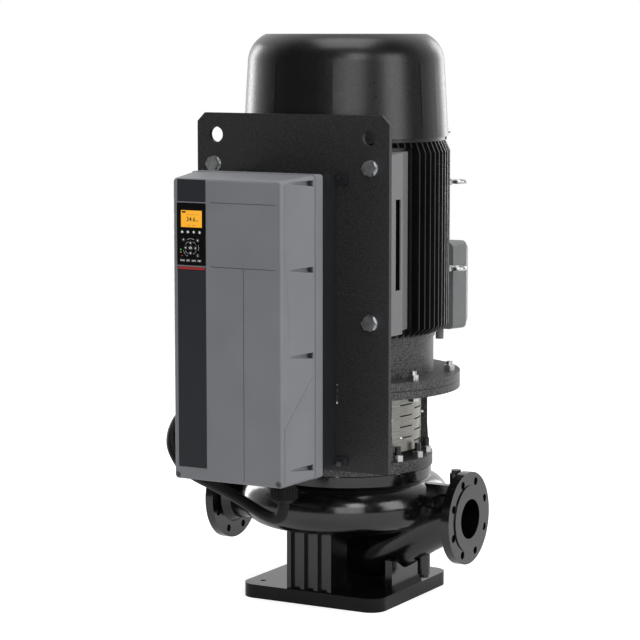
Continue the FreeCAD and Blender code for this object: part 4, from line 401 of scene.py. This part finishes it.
def structured_coat():
    """Structured dark grey coat over raw casting: coarse grit of 3 to 4 mm."""
    material, tree, shader, place = surface("structured_coat", "#38383a", 0.5, ior=1.5)
    grit = grain(tree, place, 3.6, 5)
    pits = cells(tree, place, 3.2)
    stool_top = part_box("motor_stool")[1][2]
    joint = maths(tree, "COMPARE", axes_of(tree, place)["Z"], stool_top, joint_half)
    tones(tree, shader, grit, "#202021", "#58585a", 0.42, 0.6)
    speckled = shader.inputs["Base Color"].links[0].from_socket
    lined = add(tree, "ShaderNodeMix", {0: joint, 6: speckled, 7: linear("#0a0a0b")}, data_type="RGBA")
    tree.links.new(lined.outputs[2], shader.inputs["Base Color"])
    sheen_range(tree, shader, grit, 0.4, 0.6)
    relief(tree, shader, maths(tree, "MULTIPLY_ADD", pits, 0.5, grit), 0.6, 0.8)
    return material


coat = structured_coat()
dress("motor_stool", coat)
dress("motor_flange", coat)


# Coupling guards: rolled stainless sheet with pressed slits, bright and slightly
# brushed round the motor's axis.
def rolled_stainless():
    """Cold-rolled stainless sheet: warm grey with level brushing lines."""
    material, tree, shader, place = surface("rolled_stainless", "#a7a69e", 0.36, 1.0)
    lines = grain(tree, place, 5, 3, (0.2, 0.2, 9.0))
    tones(tree, shader, lines, "#807f79", "#aaa9a2")
    sheen_range(tree, shader, lines, 0.28, 0.46)
    relief(tree, shader, lines, 0.04)
    return material


dress("coupling_guards", rolled_stainless())


# Coupling, pump shaft and impeller: machined steel and bare machined castings.
# They show through the slits and the open suction port.
def bare_casting():
    """Machined grey iron: dull grey metal with a fine open grain."""
    material, tree, shader, place = surface("bare_casting", "#6d6d6c", 0.48, 0.9)
    grit = grain(tree, place, 2, 4)
    tones(tree, shader, grit, "#575756", "#7e7e7c")
    sheen_range(tree, shader, grit, 0.4, 0.58)
    relief(tree, shader, grit, 0.1)
    return material


iron = bare_casting()
dress("coupling_halves", iron)
dress("impeller", iron)
dress("pump_shaft", steel)
dress("impeller_nut", steel)


# Motor: a cast frame with upright fins, closed at the top by the fan-end shield,
# both enamelled satin black.
def fin_enamel():
    """Satin black enamel on the finned casting: even, with a soft edge glow."""
    material, tree, shader, place = surface("fin_enamel", "#101011", 0.34, ior=1.5)
    waves = grain(tree, place, 6, 3, (1.0, 1.0, 0.4))
    tones(tree, shader, grain(tree, place, 80), "#0e0e0f", "#131314")
    sheen_range(tree, shader, waves, 0.32, 0.46)
    relief(tree, shader, waves, 0.2, 0.5)
    return material


fins = fin_enamel()
dress("motor_frame", fins)
dress("fan_end_shield", fins)


# Inside the motor: laminated cores of electrical steel, varnished copper winding
# heads, the ground shaft, two ball bearings and the moulded cooling fan.
def laminated_steel():
    """Stacked electrical steel: dark blue-grey with level sheet lines 1.7 mm apart."""
    material, tree, shader, place = surface("laminated_steel", "#5d6064", 0.42, 0.9)
    sheets = add(tree, "ShaderNodeTexWave", {"Vector": place, "Scale": 180.0, "Distortion": 0.3},
                 wave_type="BANDS", bands_direction="Z")
    tones(tree, shader, sheets.outputs["Fac"], "#4b4e52", "#6a6d71")
    relief(tree, shader, sheets.outputs["Fac"], 0.1)
    return material


def varnished_copper():
    """Copper wire bundles under amber varnish: glossy ridges about 4 mm apart."""
    material, tree, shader, place = surface("varnished_copper", "#9a5226", 0.3, 0.8)
    turns = grain(tree, place, 4, 3, (1.0, 1.0, 0.3))
    tones(tree, shader, turns, "#7a3c18", "#b96c34")
    relief(tree, shader, turns, 0.4)
    return material


laminated = laminated_steel()
dress("stator_core", laminated)
dress("rotor_core", laminated)
dress("stator_windings", varnished_copper())
dress("motor_shaft", steel)
dress("motor_bearings", steel)
polyamide = bpy.data.materials["moulded_polyamide"]
dress("cooling_fan", polyamide)
dress("heatsink_fan", polyamide)


# Fan cowl: deep-drawn steel sheet with narrow grooves down its sides and slots in
# its flat top, enamelled black.
def cowl_enamel():
    """Half-gloss black enamel on drawn sheet: smooth, with wide soft reflections."""
    material, tree, shader, place = surface("cowl_enamel", "#090909", 0.3, ior=1.5)
    peel = grain(tree, place, 5, 2)
    tones(tree, shader, grain(tree, place, 150), "#09090a", "#0e0e0f")
    sheen_range(tree, shader, peel, 0.27, 0.34)
    relief(tree, shader, peel, 0.03, 0.3)
    return material


dress("fan_cowl", cowl_enamel(), 25)


# Motor feet and terminal box: plain mid grey paint on cast iron and pressed sheet, with
# a light stipple from the spray gun. Inside the slots in the feet the grey is painted near
# black as painted shade, for the shadow deep in the slots: they reach these distances
# from the motor's axis, and these heights.
slot_sides = 0.2475
slot_near, slot_far = 0.199, 0.225
slot_low, slot_high = 0.764, 0.973


def grey_paint():
    """Sprayed mid grey paint: satin, with a stipple of about 1.5 mm, and painted shade, near black, inside
    the feet's slots.
    """
    material, tree, shader, place = surface("grey_paint", "#747576", 0.5, ior=1.5,
                                            specular_ior_level=0.2)
    stipple = grain(tree, place, 1.6, 4)
    axes = axes_of(tree, add(tree, "ShaderNodeVectorMath", {0: place}, operation="ABSOLUTE").outputs[0])
    painted_slot_shade = maths(tree, "LESS_THAN", axes["X"], slot_sides)
    for axis, test, limit in (("Y", "LESS_THAN", slot_far), ("Y", "GREATER_THAN", slot_near),
                              ("Z", "GREATER_THAN", slot_low), ("Z", "LESS_THAN", slot_high)):
        painted_slot_shade = maths(tree, "MULTIPLY", painted_slot_shade, maths(tree, test, axes[axis], limit))
    # Painted shade: inside the feet's slots the grey turns near black, standing in for the shadow deep in
    # the slot.
    tones(tree, shader, painted_slot_shade, "#747576", "#060607")
    sheen_range(tree, shader, stipple, 0.36, 0.5)
    relief(tree, shader, stipple, 0.1, 0.6)
    return material


paint = grey_paint()
dress("motor_feet", paint)
dress("terminal_box", paint)
dress("terminal_box_lid", paint)


# Mounting plate: thick steel plate, laser cut and powder coated black. The coat is
# finely pebbled and catches the light along the cut edges.
def powder_coat():
    """Fine black powder coat: matte with a tight pebble of 2 to 3 mm."""
    material, tree, shader, place = surface("powder_coat", "#202021", 0.5, ior=1.5)
    pebble = grain(tree, place, 3.2, 5)
    both = maths(tree, "MULTIPLY_ADD", cells(tree, place, 2.4), 0.6, pebble)
    tones(tree, shader, pebble, "#18181a", "#303032", 0.4, 0.65)
    sheen_range(tree, shader, pebble, 0.42, 0.6)
    relief(tree, shader, both, 0.3, 0.6)
    return material


dress("mounting_plate", powder_coat())


# Heat sink of the drive: extruded aluminium with deep fins, anodised black, with
# draw lines from the die along its height. It stands between plate and housing.
def black_anodised():
    """Black anodised aluminium: dull black with faint upright draw lines."""
    material, tree, shader, place = surface("black_anodised", "#202123", 0.42, 0.2)
    lines = grain(tree, place, 4, 3, (5.0, 5.0, 0.1))
    tones(tree, shader, lines, "#1b1c1e", "#27282a")
    sheen_range(tree, shader, lines, 0.36, 0.5)
    relief(tree, shader, lines, 0.05)
    return material


dress("drive_heatsink", black_anodised())


# Drive housing: a rear frame and a front cover, both moulded from grey ABS blend
# with a fine spark-eroded grain.
def moulded_abs():
    """Moulded grey ABS: satin, with a spark-eroded grain of about 1 mm."""
    material, tree, shader, place = surface("moulded_abs", "#77787c", 0.46, ior=1.53)
    eroded = grain(tree, place, 1.1, 4)
    tones(tree, shader, grain(tree, place, 110), "#75767a", "#797a7e")
    sheen_range(tree, shader, eroded, 0.4, 0.52)
    relief(tree, shader, eroded, 0.06, 0.6)
    return material


abs_grey = moulded_abs()
dress("drive_cover", abs_grey)
dress("drive_frame", abs_grey)


# Dark strip: moulded panels clipped into the cover's recess, each with a grey bar
# towards the operator panel. The lower one carries a printed red line.
bar_half = 0.0018
stripe_half = 0.0026
stripe_drop = 0.0072
stripe_inset = 0.003


def strip_plastic():
    """Dark moulded plastic with grey end bars and one printed red line."""
    material, tree, shader, place = surface("strip_plastic", "#2a2c30", 0.4, ior=1.53,
                                            specular_ior_level=0.2)
    axes = axes_of(tree, place)
    panel_low, panel_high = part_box("operator_panel")
    left, right = (corner[0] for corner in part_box("trim_panels"))
    bands = [("Z", panel_low[2] - bar_half, bar_half), ("Z", panel_high[2] + bar_half, bar_half),
             ("Z", panel_low[2] - stripe_drop, stripe_half),
             ("X", (left + right) / 2, (right - left) / 2 - stripe_inset)]
    under, over, level, across = [maths(tree, "COMPARE", axes[axis], centre, half)
                                  for axis, centre, half in bands]
    line = maths(tree, "MULTIPLY", level, across)
    grey_bars = maths(tree, "ADD", under, over)
    # The plain plastic gives 0, the bars 0.5 and the line 1, so steps between part them.
    ramp = add(tree, "ShaderNodeValToRGB", {"Fac": maths(tree, "MULTIPLY_ADD", grey_bars, 0.5, line)})
    ramp.color_ramp.interpolation = "CONSTANT"
    ramp.color_ramp.elements[0].color = linear("#2a2c30")
    ramp.color_ramp.elements[1].position = 0.75
    ramp.color_ramp.elements[1].color = linear("#ab2c2f")
    ramp.color_ramp.elements.new(0.25).color = linear("#7d7e82")
    tree.links.new(ramp.outputs["Color"], shader.inputs["Base Color"])
    eroded = grain(tree, place, 1.1, 4)
    sheen_range(tree, shader, eroded, 0.34, 0.46)
    relief(tree, shader, eroded, 0.05, 0.6)
    return material


dress("trim_panels", strip_plastic())


# Operator panel: a satin black plate with a backlit display, sixteen push keys and
# three status lights. Each key is moulded rubber with a printed sign.
def panel_plastic():
    """Satin black panel foil: smooth, with a very fine grain."""
    material, tree, shader, place = surface("panel_plastic", "#0b0b0c", 0.3, ior=1.53,
                                            specular_ior_level=0.12)
    fine = grain(tree, place, 0.8, 3)
    sheen_range(tree, shader, fine, 0.24, 0.34)
    relief(tree, shader, fine, 0.03, 0.5)
    return material


def key_rubber():
    """Moulded key rubber: dark grey and soft, a little lighter than the panel."""
    material, tree, shader, place = surface("key_rubber", "#26272a", 0.5)
    fine = grain(tree, place, 0.8, 3)
    tones(tree, shader, grain(tree, place, 5), "#232427", "#2b2c30")
    relief(tree, shader, fine, 0.04, 0.5)
    return material


def amber_display():
    """Backlit amber window: an even glow that drifts a little between two ambers."""
    material, tree, shader, place = surface("amber_display", "#2a1c06", 0.2)
    glow = grain(tree, place, 60, 1)
    ramp = add(tree, "ShaderNodeValToRGB", {"Fac": glow})
    ramp.color_ramp.elements[0].color = linear("#ffab26")
    ramp.color_ramp.elements[1].color = linear("#ffbb3a")
    tree.links.new(ramp.outputs["Color"], shader.inputs["Emission Color"])
    shader.inputs["Emission Strength"].default_value = 0.95
    return material


def printed_ink(name, code):
    """Screen-printed ink: flat and dull, with slightly uneven cover."""
    material, tree, shader, place = surface(name, code, 0.55)
    sheen_range(tree, shader, grain(tree, place, 1, 2), 0.5, 0.6)
    return material


dress("operator_panel", panel_plastic())
dress("display_window", amber_display())
rubber = key_rubber()
for name in nodes:
    if name.startswith("key_"):
        dress(name, rubber)

pale_ink = printed_ink("pale_ink", "#eceef0")
dark_ink = printed_ink("dark_ink", "#2b1c08")
ink_thick = 0.00004
capital_share = 0.7


def label(name, words, size, spot, ink, body, bold=0.0):
    """Printed words in the front plane: size is the letter height, spot the middle."""
    text = bpy.data.curves.new(name, "FONT")
    text.body = words
    text.size = size / capital_share
    text.align_x = "CENTER"
    text.align_y = "CENTER"
    text.extrude = ink_thick
    text.offset = bold
    text.materials.append(ink)
    piece = bpy.data.objects.new(name, text)
    piece.location = spot
    piece.rotation_euler = (math.radians(90), 0, 0)
    bpy.context.scene.collection.objects.link(piece)
    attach(piece, body)
    return piece


def flat_sign(name, corners, spot, ink, body):
    """A small printed sign: a polygon in the front plane, given in millimetres."""
    mesh = bpy.data.meshes.new(name)
    shape = bmesh.new()
    front, back = ([shape.verts.new((x / 1000, y, z / 1000)) for x, z in corners]
                   for y in (-ink_thick, ink_thick))
    shape.faces.new(front)
    shape.faces.new(list(reversed(back)))
    for rank in range(len(corners)):
        after = (rank + 1) % len(corners)
        shape.faces.new((front[rank], back[rank], back[after], front[after]))
    bmesh.ops.recalc_face_normals(shape, faces=shape.faces)
    shape.to_mesh(mesh)
    shape.free()
    mesh.materials.append(ink)
    piece = bpy.data.objects.new(name, mesh)
    piece.location = spot
    bpy.context.scene.collection.objects.link(piece)
    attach(piece, body)
    return piece


def middle(name):
    """The middle of a node's front face."""
    low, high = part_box(name)
    return Vector(((low[0] + high[0]) / 2, low[1], (low[2] + high[2]) / 2))


# Signs on the keys: corners in millimetres from the key's middle, and letter heights.
arrow = [(-2.4, -1.5), (2.4, -1.5), (0, 2.1)]
key_bold = 0.00012
for name, turn in (("key_up", 0), ("key_right", 90), ("key_down", 180), ("key_left", 270)):
    angle = -math.radians(turn)
    corners = [(x * math.cos(angle) - z * math.sin(angle), x * math.sin(angle) + z * math.cos(angle))
               for x, z in arrow]
    flat_sign("sign_" + name, corners, middle(name), pale_ink, name)
for name, words, size in (("key_ok", "OK", 0.0042), ("key_back", "<", 0.0058),
                          ("key_cancel", "x", 0.0058), ("key_info", "i", 0.0058),
                          ("key_mode_1", "HAND", 0.0026), ("key_mode_2", "OFF", 0.0030),
                          ("key_mode_3", "AUTO", 0.0026), ("key_mode_4", "RESET", 0.0023)):
    label("sign_" + name, words, size, middle(name), pale_ink, name, key_bold)
house = [(-2.6, -2.2), (2.6, -2.2), (2.6, 1.0), (0, 2.6), (-2.6, 1.0)]
bars = [(-2.6, -2.0), (2.6, -2.0), (2.6, 2.0), (-2.6, 2.0)]
dot_radius = 2.6
dot = [(dot_radius * math.cos(math.radians(a)), dot_radius * math.sin(math.radians(a)))
       for a in range(0, 360, 45)]
page = [(-2.0, -2.6), (2.0, -2.6), (2.0, 1.6), (1.0, 2.6), (-2.0, 2.6)]
for rank, corners in enumerate((house, bars, dot, page)):
    name = "key_menu_%d" % (rank + 1)
    flat_sign("sign_" + name, corners, middle(name), pale_ink, name)

# Lines printed round the OK key, in millimetres and degrees from its middle.
fewest_steps = 6
step_degrees = 8
line_radius, line_wide = 20.5, 0.5
ring_radius, ring_wide = 15.0, 0.4
ring_start, ring_stop = 22, 68


def arc_line(name, spot, radius, start, stop, wide):
    """A printed line on the panel along part of a circle, in millimetres and degrees."""
    steps = max(fewest_steps, int((stop - start) / step_degrees))
    angles = [math.radians(start + (stop - start) * step / steps) for step in range(steps + 1)]
    outer, inner = radius + wide / 2, radius - wide / 2
    outside = [(outer * math.cos(a), outer * math.sin(a)) for a in angles]
    inside = [(inner * math.cos(a), inner * math.sin(a)) for a in reversed(angles)]
    flat_sign(name, outside + inside, spot, pale_ink, "pump")


pad = middle("key_ok")
pad.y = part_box("operator_panel")[0][1]
for side, start, stop in (("top", 62, 118), ("left", 195, 248), ("right", -15, 20)):
    arc_line("pad_line_" + side, pad, line_radius, start, stop, line_wide)
for rank in range(4):
    quarter = 90 * rank
    arc_line("pad_ring_%d" % (rank + 1), pad, ring_radius, quarter + ring_start,
             quarter + ring_stop, ring_wide)



# Reading on the display: dark letters on the glowing glass, a generic frequency with a
# line of small values above it and the state below. The header is a plain block.
def on_glass(right, up):
    """A spot on the display, so far right of its middle and above it."""
    return middle("display_window") + Vector((right, 0, up))


small_letters = 0.0024
header = [(-24.5, -1.9), (-14.5, -1.9), (-14.5, 1.9), (-24.5, 1.9)]
label("display_reading", "34.6", 0.0098, on_glass(-0.001, -0.0012), dark_ink, "pump", 0.0002)
label("display_unit", "Hz", 0.0034, on_glass(0.0155, -0.0040), dark_ink, "pump", 0.0001)
flat_sign("display_header", header, on_glass(0, 0.0150), dark_ink, "pump")
label("display_top_line", "0.0 %   34.6 Hz   1 (1)", small_letters, on_glass(0.003, 0.0095),
      dark_ink, "pump")
label("display_bottom_line", "AUTO     RUN", small_letters, on_glass(0, -0.0145), dark_ink, "pump")


# Status lights: three small clear lenses set into the panel, each with its own colour.
# Only the green one is clearly lit.
lens_radius = 0.0015
lens_shape = (1.25, 0.5, 0.8)


def status_light(name, code, strength, x, z):
    """A small lens in the panel, clear plastic over a light-emitting chip."""
    material, tree, shader, place = surface(name, code, 0.2)
    shader.inputs["Emission Color"].default_value = linear(code)
    shader.inputs["Emission Strength"].default_value = strength
    sheen_range(tree, shader, grain(tree, place, 1, 2), 0.15, 0.25)
    mesh = bpy.data.meshes.new(name)
    lens = bmesh.new()
    bmesh.ops.create_uvsphere(lens, u_segments=20, v_segments=10, radius=lens_radius)
    bmesh.ops.scale(lens, vec=lens_shape, verts=lens.verts)
    lens.to_mesh(mesh)
    lens.free()
    mesh.shade_smooth()
    mesh.materials.append(material)
    piece = bpy.data.objects.new(name, mesh)
    piece.location = (x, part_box("operator_panel")[0][1], z)
    bpy.context.scene.collection.objects.link(piece)
    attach(piece, "pump")


status_light("status_green", "#3fae4a", 0.8, -0.1180, 0.8700)
status_light("status_amber", "#d8a02a", 0.2, -0.1180, 0.8640)
status_light("status_red", "#b02a26", 0.1, -0.1150, 0.8560)
